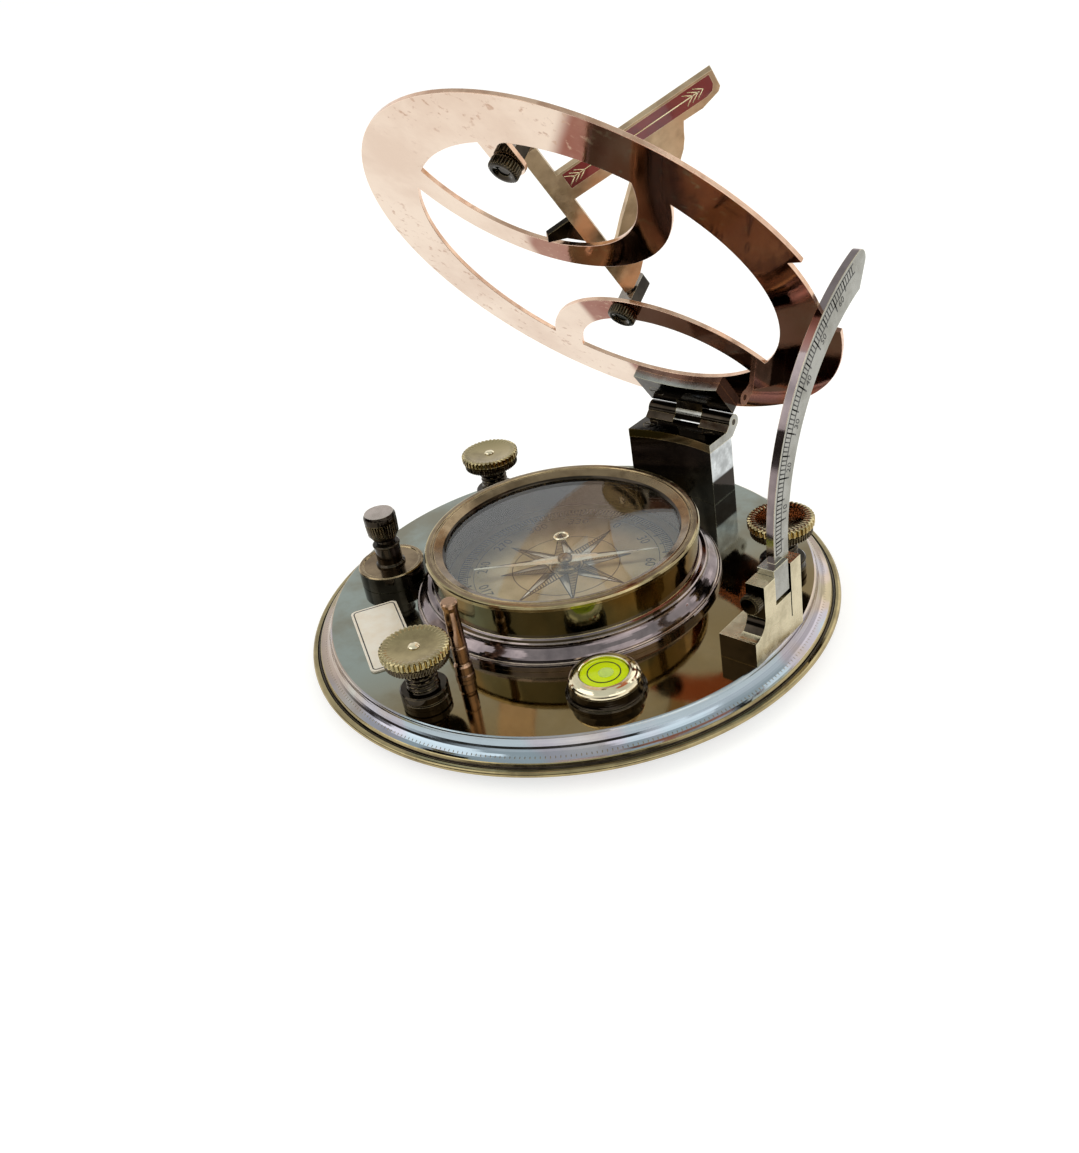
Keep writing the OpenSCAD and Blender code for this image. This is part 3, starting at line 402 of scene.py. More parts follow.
@dataclass(frozen=True)
class Clear:
    """Glass or a tinted liquid that light passes through.

    Attributes:
        name: The material's name.
        tint: Colour that the light takes.
        shade: Colour of faint clouds in it.
        index: Index of refraction.
        through: Share of light that passes.
        rough: Roughness of the surface.
    """

    name: str
    tint: str
    shade: str
    index: float = 1.5
    through: float = 1.0
    rough: float = 0.01

    def build(self) -> bpy.types.Material:
        """Builds the material: a smooth dielectric with a faint wave in its surface."""
        material, tree = blank(self.name)
        look = {
            "Base Color": layered(
                tree, self.tint, [(clouds(tree, 8.0, share=(0.0, 0.5)), self.shade)]
            ),
            "Roughness": self.rough,
            "IOR": self.index,
            "Transmission Weight": self.through,
            "Normal": uneven(tree, ((14.0, 0.004),)),
        }
        shader = add(tree, "ShaderNodeBsdfPrincipled", look)
        add(tree, "ShaderNodeOutputMaterial", {"Surface": shader.outputs[0]})
        return material


class Finish(Enum):
    """Every finish on the object, by what it is made of and how its surface was made."""

    # Brass polished flat to a mirror, then aged: a grey-green film with brown clouds, still sharp
    MIRROR_BRASS = Metal(
        "aged_mirror_brass_painted_reflection", "#98A19A", "#75623F", "#E3D3A2", 0.55, 26.0, (0.03, 0.09), 0.35, 0.006,
        # painted reflection: the flat turns brown towards +X and -Y
        turns=(("#8E774E", (((0.9, -0.4, 0.0), (-5.0, 45.0)),)),),
    )
    # The same brass where heat tinted it: brown gold runs into rose, lilac and pale blue bands
    TINTED_BRASS = Metal(
        "heat_tinted_brass_painted_highlight", "#A89A7C", "#6F5E46", "#F2E2B4", 0.55, 14.0, (0.06, 0.18), 0.35, 0.008,
        lathe_mm=0.002,
        tints=("#B3A09A", "#A3A3B4", "#9FB6BE"), tint_mm=24.0, tint_share=0.6,
        # painted highlight: the cove turns pale blue on its front, towards -Y
        turns=(("#D3E1E8", (((0.5, -0.87, 0.0), (34.0, 62.0)),)),),
    )
    # Turned brass under a mauve brown lacquer that deepens in soft bands
    MAUVE_BRASS = Metal(
        "mauve_brown_lacquered_brass", "#9B8984", "#3C2C22", "#E0CDB0", 0.8, 15.0, (0.05, 0.14),
        0.35, 0.008,
        lathe_mm=0.002, tints=("#857F86",), tint_mm=22.0, tint_share=0.4,
    )
    # Turned brass with a thin brown film, worn golden on every edge
    TURNED_BRASS = Metal(
        "turned_lacquered_brass", "#8F7B60", "#513F2C", "#DCC898", 0.6, 9.0, (0.1, 0.26), 0.4,
        0.008, lathe_mm=0.004
    )
    # Turned brass that handling keeps golden
    GOLD_BRASS = Metal(
        "handled_golden_brass", "#A89870", "#6B5C40", "#EADCAE", 0.6, 10.0, (0.08, 0.2), 0.35,
        0.008, lathe_mm=0.003
    )
    # Turned brass rubbed bright
    BRIGHT_BRASS = Metal(
        "rubbed_bright_brass", "#F0E3C2", "#C2B292", "#FBF2D6", 0.4, 6.0, (0.05, 0.14), 0.3, 0.006
    )
    # Turned brass under dark brown lacquer: deep brown with gold showing through in soft bands
    DARK_BRASS = Metal(
        "brown_lacquered_brass", "#9A7E4E", "#453118", "#D8C48C", 0.75, 16.0, (0.05, 0.14), 0.45,
        0.006, lathe_mm=0.002,
        tints=("#7A6A3C", "#5C6C60"), tint_mm=30.0, tint_share=0.45,
    )
    # Milled brass, pale and slightly dull
    MILLED_BRASS = Metal(
        "milled_pale_brass", "#CDC1A2", "#9A8E70", "#EFE6C4", 0.6, 7.0, (0.16, 0.32), 0.35, 0.01
    )
    # Brass sheet with a rosy brown film
    SHEET_BRASS = Metal(
        "rosy_brass_sheet", "#C9AF8E", "#957C62", "#EBDDBE", 0.6, 7.0, (0.3, 0.44), 0.3, 0.008
    )
    # Engraved scale strip, silvered brass with a soft sheen
    SCALE_BRASS = Metal(
        "silvered_scale_brass", "#A3A29C", "#77746A", "#E6DEBC", 0.6, 8.0, (0.2, 0.36), 0.3, 0.006
    )
    # Bronze blackened by heat and oil, polished, with brass shining through on its edges; it is
    # also laid on some faces as painted shade and painted dark reflection
    BLACK_BRONZE = Metal(
        "oil_blackened_bronze_and_painted_shade", "#3B342C", "#17130E", "#94845F", 0.7, 8.0, (0.06, 0.2), 0.18, 0.008,
        lathe_mm=0.002
    )
    # The same polished bronze, black below and pale grey at the top from about 19 mm up:
    # a painted reflection, for the hinge block's +X faces
    POLISHED_BRONZE = Metal(
        "bronze_painted_pale_reflection", "#2A2018", "#1B140E", "#D9D4C4", 0.5, 8.0, (0.08, 0.18), 0.3, 0.006,
        turns=(("#DCE0E2", (((0.0, 0.0, 1.0), (18.6, 19.4)),)),),
    )
    # Bronze rubbed grey, for the posts that carry the gnomon
    GREY_BRONZE = Metal(
        "rubbed_grey_bronze", "#B5A9A0", "#8A7C72", "#E8DED2", 0.5, 5.0, (0.14, 0.3), 0.3, 0.01
    )
    # Reddish turned brass
    ROSE_BRASS = Metal(
        "reddish_turned_brass", "#A6846A", "#5E4836", "#E2C2A4", 0.6, 6.0, (0.1, 0.24), 0.3, 0.008,
        lathe_mm=0.004
    )
    # Copper sheet, mirror polished, with oxide spots; its pale face and the deep copper bands
    # that go by place on the ring are painted reflections of the surroundings
    COPPER = Metal(
        "polished_copper_painted_reflections", "#E4CFBD", "#B9957E", "#F6DCC8", 0.35, 30.0, (0.02, 0.07), 0.35,
        0.008, 0.001,
        spots=0.9, turns=(
            (
                "#84402A",
                (((1.0, 0.0, 0.0), (-17.5, -14.0)), ((1.0, 0.527, -0.717), (-79.0, -73.0)))
            ),
            ("#B4694C", (((1.0, 0.0, 0.0), (-5.0, 3.0)), ((1.0, 0.527, -0.717), (-66.0, -56.0)))),
        ),
    )
    # The sheet's upper face, an even warm copper between its engraved scales
    COPPER_TOP = Metal(
        "even_copper_sheet", "#DDAE92", "#B07C60", "#F6DCC8", 0.45, 26.0, (0.05, 0.14), 0.35, 0.008,
        0.001, spots=0.8
    )
    # Sawn and filed rim of the same sheet, bright
    COPPER_EDGE = Metal(
        "filed_copper_edge", "#E7C3A8", "#A8775A", "#FBE6D6", 0.5, 6.0, (0.12, 0.3), 0.2, 0.01
    )
    # Dial of silvered brass, polished before it was engraved
    DIAL = Metal(
        "silvered_dial_brass", "#C4B48C", "#94845C", "#B9B6A4", 0.6, 12.0, (0.28, 0.42), 0.2, 0.004
    )
    # Matt silvering on the rose's bright halves
    FROSTED = Metal(
        "frosted_silvering", "#BDBAAC", "#989484", "#D4D0C0", 0.5, 5.0, (0.3, 0.45), 0.2, 0.004
    )
    # Bright needle
    STEEL = Metal(
        "bright_needle_steel", "#E2DCC8", "#C2B998", "#F4F0E2", 0.4, 5.0, (0.14, 0.26), 0.15, 0.003
    )
    # Dark wax rubbed into the engraving
    WAX = Enamel("black_engraving_wax", "#14110E", "#231D17", 0.5, 0.1)
    # Gilding in the engraved arrow
    GOLD_LINE = Metal(
        "gilt_engraved_line", "#E0CC98", "#B7A26E", "#F0E4C0", 0.5, 3.0, (0.2, 0.35), 0.1, 0.002
    )
    # Glossy deep red glass enamel in a sunk band
    RED_ENAMEL = Enamel("fired_red_enamel", "#8B2A2C", "#6E1D20", 0.28, 0.8)
    # Glossy cream enamel with faint clouds
    IVORY_ENAMEL = Enamel("ivory_enamel_plate", "#FFF3DF", "#F8E6CB", 0.3, 0.4)
    # Clear flat glass
    GLASS = Clear("window_glass", "#FFFFFF", "#F4F8F6", 1.5)
    # Yellow-green spirit that seems to glow
    SPIRIT = Clear("green_tinted_spirit", "#E6FB14", "#D8EE10", 1.36, 0.1, 0.08)
    # Air bubble, paler than the spirit round it
    BUBBLE = Clear("spirit_bubble", "#F4FFB0", "#E8FA90", 1.1, 0.6, 0.02)


class Finishes:
    """Builds each finish once and hands it out."""

    def __init__(self) -> None:
        """Starts with nothing built."""
        self._made: Dict[Finish, bpy.types.Material] = {}

    def get(self, finish: Finish) -> bpy.types.Material:
        """Gives the material of a finish, building it at the first call."""
        if finish not in self._made:
            self._made[finish] = finish.value.build()
        return self._made[finish]


# ---------------------------------------------------------------- surfaces


@dataclass
class Surface:
    """Points in millimetres with the faces between them.

    Attributes:
        points: Array of n by 3.
        faces: Arrays of point numbers, each m by 3 or m by 4.
        normals: Optional n by 3, for shading.
        turned: Optional n by 2, each point's radius and height on the lathe.
    """

    points: Array
    faces: List[Array]
    normals: Optional[Array] = None
    turned: Optional[Array] = None

    def moved(self, matrix: Array) -> "Surface":
        """Gives the surface after a 4 by 4 transform."""
        points = self.points @ matrix[:3, :3].T + matrix[:3, 3]
        normals = None if self.normals is None else self.normals @ matrix[:3, :3].T
        return Surface(points, self.faces, normals, self.turned)

    def volume(self) -> float:
        """Gives the signed volume: a sixth of the sum of the triangles' triple products."""
        total = 0.0
        for block in self.faces:
            for k in range(1, block.shape[1] - 1):
                a, b, c = (self.points[block[:, i]] for i in (0, k, k + 1))
                total += float(np.einsum("ij,ij->i", a, np.cross(b, c)).sum()) / 6
        return total

    def outward(self) -> "Surface":
        """Gives the surface with its faces turned so that its volume is positive."""
        if self.volume() >= 0:
            return self
        return Surface(
            self.points, [block[:, ::-1] for block in self.faces], self.normals, self.turned
        )


def joined(parts: Sequence[Surface]) -> Surface:
    """Puts several surfaces into one, with normals and lathe places where every part has them."""

    def kept(values: Sequence[Optional[Array]]) -> Optional[Array]:
        """Joins the parts' arrays, or gives None where a part lacks one."""
        return None if any(value is None for value in values) else np.concatenate(values)

    first = np.cumsum([0] + [len(p.points) for p in parts[:-1]])
    faces = [block + s for p, s in zip(parts, first) for block in p.faces]
    normals, turned = kept([p.normals for p in parts]), kept([p.turned for p in parts])
    return Surface(np.concatenate([p.points for p in parts]), faces, normals, turned)


def rounded(
    corners: Any, radius: float, parts: int = 3, closed: bool = True
) -> Tuple[Array, Array]:
    """Rounds every corner of a profile.

    At a corner where the way turns by t, an arc of the radius starts radius * tan(t / 2) before
    it, or nearer where a side is short. Along the arc the normal turns evenly from one side's to
    the other's.

    Args:
        corners: n by 2 points of (radius, height).
        radius: Radius of the arcs.
        parts: Steps in each arc.
        closed: Whether the profile joins up with its start.

    Returns:
        The rounded profile and its unit normals, which point to the right of the way.
    """
    c = np.asarray(corners, float)
    back, ahead = np.roll(c, 1, 0), np.roll(c, -1, 0)
    into, out = c - back, ahead - c
    len_in, len_out = np.linalg.norm(into, axis=1), np.linalg.norm(out, axis=1)
    into, out = into / len_in[:, None], out / len_out[:, None]
    turn = np.arctan2(into[:, 0] * out[:, 1] - into[:, 1] * out[:, 0], (into * out).sum(1))
    half = np.tan(np.abs(turn) / 2)
    cut = np.minimum(radius * half, 0.45 * np.minimum(len_in, len_out))
    angle_in = np.arctan2(into[:, 1], into[:, 0])
    share = np.linspace(0, 1, parts + 1)
    heading = angle_in[:, None] + turn[:, None] * share
    real = np.where(half > 1e-9, cut / np.maximum(half, 1e-9), 0) * np.sign(turn)
    start = c - into * cut[:, None]
    side = np.stack([-into[:, 1], into[:, 0]], 1)
    centre = start + side * real[:, None]
    arc = centre[:, None, :] + real[:, None, None] * np.stack(
        [np.sin(heading), -np.cos(heading)], -1
    )
    straight = np.abs(turn) < 1e-6
    arc[straight] = c[straight][:, None, :]
    normals = np.stack([np.sin(heading), -np.cos(heading)], -1)
    if not closed:
        arc[0], arc[-1] = c[0], c[-1]
        first = np.array([out[0][1], -out[0][0]])
        last = np.array([into[-1][1], -into[-1][0]])
        normals[0], normals[-1] = first, last
        arc = np.concatenate([arc[0][:1], arc[1:-1].reshape(-1, 2), arc[-1][:1]])
        normals = np.concatenate([normals[0][:1], normals[1:-1].reshape(-1, 2), normals[-1][:1]])
        return arc, normals
    return arc.reshape(-1, 2), normals.reshape(-1, 2)


def grid_faces(rows: int, columns: int, wrap_rows: bool, wrap_columns: bool) -> Array:
    """Gives the four-sided faces of a grid of points, row by row."""
    number = np.arange(rows * columns).reshape(rows, columns)
    down = np.roll(number, -1, 0) if wrap_rows else number[1:]
    here = number if wrap_rows else number[:-1]
    right, down_right = np.roll(here, -1, 1), np.roll(down, -1, 1)
    if not wrap_columns:
        here, down, right, down_right = (x[:, :-1] for x in (here, down, right, down_right))
    return np.stack([here, right, down_right, down], -1).reshape(-1, 4)


def revolved(
    corners: Any,
    steps: int = 160,
    radius: float = 0.15,
    parts: int = 3,
    closed: bool = False,
    shape: Optional[Callable[[Array, Array, Array], Array]] = None,
) -> Surface:
    """Turns a profile about Z: a point (r, z) goes to (r cos a, r sin a, z) for each angle a.

    Args:
        corners: Profile points (r, z). An open profile starts and ends on the axis.
        steps: Number of angles.
        radius: Rounding of the profile's corners.
        parts: Steps in each rounding.
        closed: Whether the profile closes on itself, as a ring's section does.
        shape: Gives new radii from the grid of radii, heights and angles, for knurls.

    Returns:
        The closed surface.
    """
    line, normal = rounded(corners, radius, parts, closed)
    angle = np.linspace(0, 2 * math.pi, steps, endpoint=False)
    r = np.repeat(line[:, :1], steps, 1)
    z = np.repeat(line[:, 1:], steps, 1)
    a = np.repeat(angle[None, :], len(line), 0)
    if shape is not None:
        r = shape(r, z, a)
    points = np.stack([r * np.cos(a), r * np.sin(a), z], -1)
    normals = np.stack(
        [normal[:, :1] * np.cos(a), normal[:, :1] * np.sin(a), np.repeat(normal[:, 1:], steps, 1)],
        -1
    )
    lathe = np.stack([r, z], -1)
    if closed:
        made = Surface(
            points.reshape(-1, 3), [grid_faces(len(line), steps, True, True)],
            normals.reshape(-1, 3),
            lathe.reshape(-1, 2),
        )
    else:
        body = points[1:-1].reshape(-1, 3)
        top, bottom = len(body), len(body) + 1
        ring = np.arange(steps)
        last = ring + (len(line) - 3) * steps
        fans = [
            np.stack([np.full(steps, top), np.roll(ring, -1), ring], 1),
            np.stack([np.full(steps, bottom), last, np.roll(last, -1)], 1),
        ]
        poles = np.array([[0, 0, line[0, 1]], [0, 0, line[-1, 1]]])
        pole_normals = np.array([[0, 0, normal[0, 1]], [0, 0, normal[-1, 1]]])
        made = Surface(
            np.concatenate([body, poles]),
            [grid_faces(len(line) - 2, steps, False, True), *fans],
            np.concatenate([normals[1:-1].reshape(-1, 3), pole_normals]),
            np.concatenate([lathe[1:-1].reshape(-1, 2), poles[:, 1:]]),
        )
    made = made.outward()
    if shape is not None:
        made.normals = None
    elif inward(made):
        made.normals = -made.normals
    return made


def inward(surface: Surface) -> bool:
    """Tells whether a surface's stated normals point against its faces."""
    block = surface.faces[0]
    a, b, c = (surface.points[block[:, i]] for i in (0, 1, 2))
    face = np.cross(b - a, c - b)
    return float(np.einsum("ij,ij->i", face, surface.normals[block[:, 0]]).sum()) < 0


def bars(
    centres: Array, along: Array, up: Array, lengths: Any, widths: Any, height: float
) -> Surface:
    """Makes one thin bar for each row of centres.

    A bar's eight corners are its centre plus or minus half its length along, half its width
    across, and 0 or its height up, where across is up times along.
    """
    centres, along, up = (np.atleast_2d(np.asarray(x, float)) for x in (centres, along, up))
    n = len(centres)
    along, up = np.broadcast_to(along, (n, 3)), np.broadcast_to(up, (n, 3))
    across = np.cross(up, along)
    half_l = np.broadcast_to(np.asarray(lengths, float), (n,))[:, None] / 2
    half_w = np.broadcast_to(np.asarray(widths, float), (n,))[:, None] / 2
    signs = ((-1, -1), (1, -1), (1, 1), (-1, 1))
    low = [centres + sl * half_l * along + sw * half_w * across for sl, sw in signs]
    points = np.stack(low + [p + height * up for p in low], 1).reshape(-1, 3)
    box = np.array(
        [[3, 2, 1, 0], [4, 5, 6, 7], [0, 1, 5, 4], [1, 2, 6, 5], [2, 3, 7, 6], [3, 0, 4, 7]]
    )
    faces = (box[None] + 8 * np.arange(n)[:, None, None]).reshape(-1, 4)
    return Surface(points, [faces])


def ribbon(line: Array, up: Any, width: float, height: float, closed: bool = False) -> Surface:
    """Carries a thin flat rectangle along a line of points, its face towards up."""
    line = np.asarray(line, float)
    up = np.asarray(up, float)
    ahead = np.roll(line, -1, 0) - np.roll(line, 1, 0)
    if not closed:
        ahead[0], ahead[-1] = line[1] - line[0], line[-1] - line[-2]
    ahead /= np.linalg.norm(ahead, axis=1)[:, None]
    side = np.cross(up, ahead) * width / 2
    rows = np.stack(
        [line - side, line + side, line + side + height * up, line - side + height * up], 1
    )
    faces = [grid_faces(len(line), 4, closed, True)]
    if not closed:
        n = len(line) * 4
        faces.append(np.array([[3, 2, 1, 0], [n - 4, n - 3, n - 2, n - 1]]))
    return Surface(rows.reshape(-1, 3), faces)


def slab(outline: Any, low: float, high: float) -> Surface:
    """Raises a flat outline between two heights; its ends are fans about its middle."""
    flat = np.asarray(outline, float)
    n = len(flat)
    middle = flat.mean(0)
    points = np.concatenate(
        [
            np.c_[flat, np.full(n, low)], np.c_[flat, np.full(n, high)], [[*middle, low]],
            [[*middle, high]]
        ]
    )
    i = np.arange(n)
    j = np.roll(i, -1)
    faces = [
        np.stack([i, j, j + n, i + n], 1),
        np.stack([np.full(n, 2 * n), j, i], 1),
        np.stack([np.full(n, 2 * n + 1), i + n, j + n], 1),
    ]
    return Surface(points, faces)


def arc_line(radius: float, start: float, end: float, count: int, z: float = 0.0) -> Array:
    """Gives points round a circle about Z, from one angle to another in degrees."""
    a = np.radians(np.linspace(start, end, count))
    return np.stack([radius * np.cos(a), radius * np.sin(a), np.full(count, z)], 1)


def shift(x: float, y: float, z: float) -> Array:
    """Gives the transform that moves by x, y, z."""
    matrix = np.eye(4)
    matrix[:3, 3] = (x, y, z)
    return matrix


def spin(axis: str, degrees: float) -> Array:
    """Gives the transform that turns about one axis."""
    return np.array(Matrix.Rotation(math.radians(degrees), 4, axis))


def off_axis(points: Array) -> Array:
    """Gives the distances of points from the Z axis."""
    return np.hypot(points[:, 0], points[:, 1])


def spokes(angles: Array) -> Array:
    """Gives unit directions away from the Z axis, at angles in radians."""
    return np.stack([np.cos(angles), np.sin(angles), np.zeros_like(angles)], 1)


def placed(name: str, data: Any) -> bpy.types.Object:
    """Makes an object of a mesh, a curve, a lamp or a camera, and puts it in the scene."""
    thing = bpy.data.objects.new(name, data)
    bpy.context.scene.collection.objects.link(thing)
    return thing


def read(mesh: bpy.types.Mesh) -> Tuple[Array, Array]:
    """Reads a mesh's points, in metres, and its triangles."""
    points = np.zeros(len(mesh.vertices) * 3)
    mesh.vertices.foreach_get("co", points)
    mesh.calc_loop_triangles()
    triangles = np.zeros(len(mesh.loop_triangles) * 3, int)
    mesh.loop_triangles.foreach_get("vertices", triangles)
    return points.reshape(-1, 3), triangles.reshape(-1, 3)


def lettering(text: str, height: float, thickness: float) -> Surface:
    """Makes a word or number as thin solid letters, centred on the origin, its face towards +Z.

    Args:
        text: The characters.
        height: Height of a capital.
        thickness: Thickness of the letters.

    Returns:
        The letters' surface.
    """
    curve = bpy.data.curves.new("letters", "FONT")
    curve.body, curve.align_x, curve.align_y = text, "CENTER", "CENTER"
    curve.size, curve.extrude, curve.resolution_u = height / 0.7, thickness / 2, 2
    carrier = placed("letters", curve)
    bpy.context.view_layer.update()
    mesh = bpy.data.meshes.new_from_object(carrier)
    flat, triangles = read(mesh)
    bpy.data.objects.remove(carrier)
    bpy.data.curves.remove(curve)
    bpy.data.meshes.remove(mesh)
    flat[:, 2] += thickness / 2
    return Surface(flat, [triangles])


# ---------------------------------------------------------------- pieces


Test = Callable[[Array, Array], Array]


class Workshop:
    """Writes surfaces into objects and puts them on the frame's bodies."""

    def __init__(self, frame: Dict[str, Any]) -> None:
        """Keeps the frame and starts the finishes."""
        self.frame = frame
        self.finishes = Finishes()

    def piece(
        self,
        name: str,
        surface: Surface,
        body: str,
        slot: Slot,
        finish: Finish,
        stands_for: Sequence[str] = (),
        sharp: Optional[float] = None,
    ) -> bpy.types.Object:
        """Writes one piece.

        Args:
            name: The object's name.
            surface: Its surface, in millimetres.
            body: The body that it rides on.
            slot: The record's material slot; not used.
            finish: Its finish.
            stands_for: CAD nodes that it replaces.
            sharp: Degrees over which an edge is shaded sharp, where the surface has no normals.

        Returns:
            The new object.
        """
        mesh = bpy.data.meshes.new(name)
        faces = [row for block in surface.faces for row in block.tolist()]
        mesh.from_pydata((surface.points * MM).tolist(), [], faces)
        mesh.update()
        mesh.polygons.foreach_set("use_smooth", np.ones(len(mesh.polygons), bool))
        if surface.normals is not None:
            mesh.normals_split_custom_set_from_vertices(surface.normals.tolist())
        elif sharp is not None:
            mesh.set_sharp_from_angle(angle=math.radians(sharp))
        if surface.turned is not None:
            lathe = mesh.attributes.new(TURNED, "FLOAT_VECTOR", "POINT")
            lathe.data.foreach_set(
                "vector", np.c_[surface.turned * MM, np.zeros(len(surface.turned))].ravel()
            )
        return self.hand_over(name, mesh, body, slot, finish, stands_for)

    def hand_over(
        self, name: str, mesh: bpy.types.Mesh, body: str, slot: Slot, finish: Finish,
        stands_for: Sequence[str]
    ) -> bpy.types.Object:
        """Makes the object of a mesh, dresses it, and puts it on its body.

        Args:
            name: The object's name.
            mesh: Its mesh.
            body: The body that it rides on.
            slot: The record's material slot; not used.
            finish: Its finish.
            stands_for: CAD nodes that it replaces.

        Returns:
            The new object.
        """
        thing = placed(name, mesh)
        mesh.materials.append(self.finishes.get(finish))
        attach(thing, body)
        if stands_for:
            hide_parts(*stands_for)
        LOG.info("%s: %d faces on %s", name, len(mesh.polygons), body)
        return thing

    def zone(self, thing: bpy.types.Object, finish: Finish, where: Test) -> None:
        """Gives some of a piece's faces a second finish.

        Args:
            thing: The piece.
            finish: The faces' finish.
            where: Tells the faces from arrays of their middles, in millimetres, and normals.
        """
        mesh = thing.data
        count = len(mesh.polygons)
        middles, normals = np.zeros(count * 3), np.zeros(count * 3)
        mesh.polygons.foreach_get("center", middles)
        mesh.polygons.foreach_get("normal", normals)
        chosen = where(middles.reshape(-1, 3) / MM, normals.reshape(-1, 3))
        numbers = np.zeros(count, int)
        mesh.polygons.foreach_get("material_index", numbers)
        mesh.materials.append(self.finishes.get(finish))
        numbers[chosen] = len(mesh.materials) - 1
        mesh.polygons.foreach_set("material_index", numbers)

    def dress(self, node: str, finish: Finish) -> None:
        """Gives a CAD node that stays its finish."""
        thing = self.frame["nodes"][node]
        thing.data.materials.clear()
        thing.data.materials.append(self.finishes.get(finish))

    def eased(
        self, node: str, body: str, slot: Slot, finish: Finish, width: float = 0.15
    ) -> bpy.types.Object:
        """Copies a CAD node, merges its triangles and eases its edges.

        Args:
            node: The CAD node, which the copy replaces.
            body: The body that it rides on.
            slot: The record's material slot; not used.
            finish: Its finish.
            width: Width of the eased edges.

        Returns:
            The new object.
        """
        points, triangles = read(self.frame["nodes"][node].data)
        unique, inverse = np.unique(np.round(points, 7), axis=0, return_inverse=True)
        triangles = inverse.reshape(-1)[triangles]
        whole = (triangles != np.roll(triangles, 1, 1)).all(1)
        mesh = bpy.data.meshes.new(node + "_eased")
        mesh.from_pydata(unique.tolist(), [], triangles[whole].tolist())
        shape = bmesh.new()
        shape.from_mesh(mesh)
        bmesh.ops.remove_doubles(shape, verts=shape.verts, dist=2e-6)
        bmesh.ops.dissolve_limit(
            shape, angle_limit=math.radians(0.6), verts=shape.verts, edges=shape.edges
        )
        shape.to_mesh(mesh)
        shape.free()
        mesh.polygons.foreach_set("use_smooth", np.ones(len(mesh.polygons), bool))
        thing = self.hand_over(node + "_eased", mesh, body, slot, finish, [node])
        edge = thing.modifiers.new("eased_edges", "BEVEL")
        edge.width, edge.segments, edge.limit_method = width * MM, 2, "ANGLE"
        edge.angle_limit, edge.harden_normals, edge.use_clamp_overlap = math.radians(32), True, True
        return thing


def knurled(
    teeth: int, depth: float, low: float, high: float, fade: float = 0.3, reach: float = 2.2
) -> Callable[[Array, Array, Array], Array]:
    """Gives a function that cuts teeth into a band of a revolved shape.

    Inside the band the radius falls by depth times a wave, flat on the teeth and pointed between
    them.

    Args:
        teeth: Number of teeth.
        depth: Depth of the cuts.
        low: Lower edge of the band.
        high: Upper edge of the band.
        fade: Height over which the cuts run out.
        reach: How far in from the largest radius the cuts may reach.

    Returns:
        The function of radii, heights and angles.
    """

    def shape(r: Array, z: Array, a: Array) -> Array:
        """Lowers the radii inside the band."""
        wave = np.clip(1.6 * np.abs(((a * teeth / (2 * math.pi)) % 1) - 0.5) * 2 - 0.6, 0, 1)
        band = np.clip((z - low) / fade, 0, 1) * np.clip((high - z) / fade, 0, 1)
        near = np.clip((r - (r.max() - reach)) / 0.4, 0, 1)
        return r - depth * wave * band * near

    return shape


@dataclass
class Place:
    """Shared sizes of the frame, in millimetres."""

    top_z: float = 11.1
    screw_r: float = 59.8
    screw_turn: float = 31.7
    pin_y: float = 66.0
    pin_z: float = 33.05
    tilt: float = 53.67
    ring_reach: float = 68.3
    ring_h: float = 4.25
    ring_t: float = 1.2
    pivot_h: float = 5.0
    lean: float = 44.0

    def on_plate(self, radius: float, degrees: float) -> Array:
        """Gives the transform to a place on the plate's top."""
        return spin("Z", degrees) @ shift(radius, 0, self.top_z)

    def at_screw(self, number: int) -> Array:
        """Gives the transform to a levelling screw's axis, at height zero."""
        return spin("Z", self.screw_turn + 120 * number) @ shift(self.screw_r, 0, 0)

    def on_ring(self) -> Array:
        """Gives the transform to the hour ring's centre, on its underside."""
        hinge = shift(0, self.pin_y, self.pin_z) @ spin("X", -self.tilt)
        return hinge @ shift(0, -self.ring_reach, self.ring_h)

    def on_gnomon(self) -> Array:
        """Gives the transform to the gnomon's pivot, with x up the sheet."""
        return self.on_ring() @ shift(0, 0, self.pivot_h) @ spin("Y", self.lean - 90)


PLACE = Place()
UP = np.array([0.0, 0.0, 1.0])


def strokes(lines: Sequence[Tuple[Any, Any, float]], z: float, height: float) -> Surface:
    """Makes a bar for each stroke, given by its two ends on the flat and its width."""
    first = np.array([x[0] for x in lines], float)
    second = np.array([x[1] for x in lines], float)
    way = second - first
    size = np.linalg.norm(way, axis=1)
    along = np.c_[way / size[:, None], np.zeros(len(size))]
    centre = np.c_[(first + second) / 2, np.full(len(size), z)]
    return bars(centre, along, UP, size, [x[2] for x in lines], height)


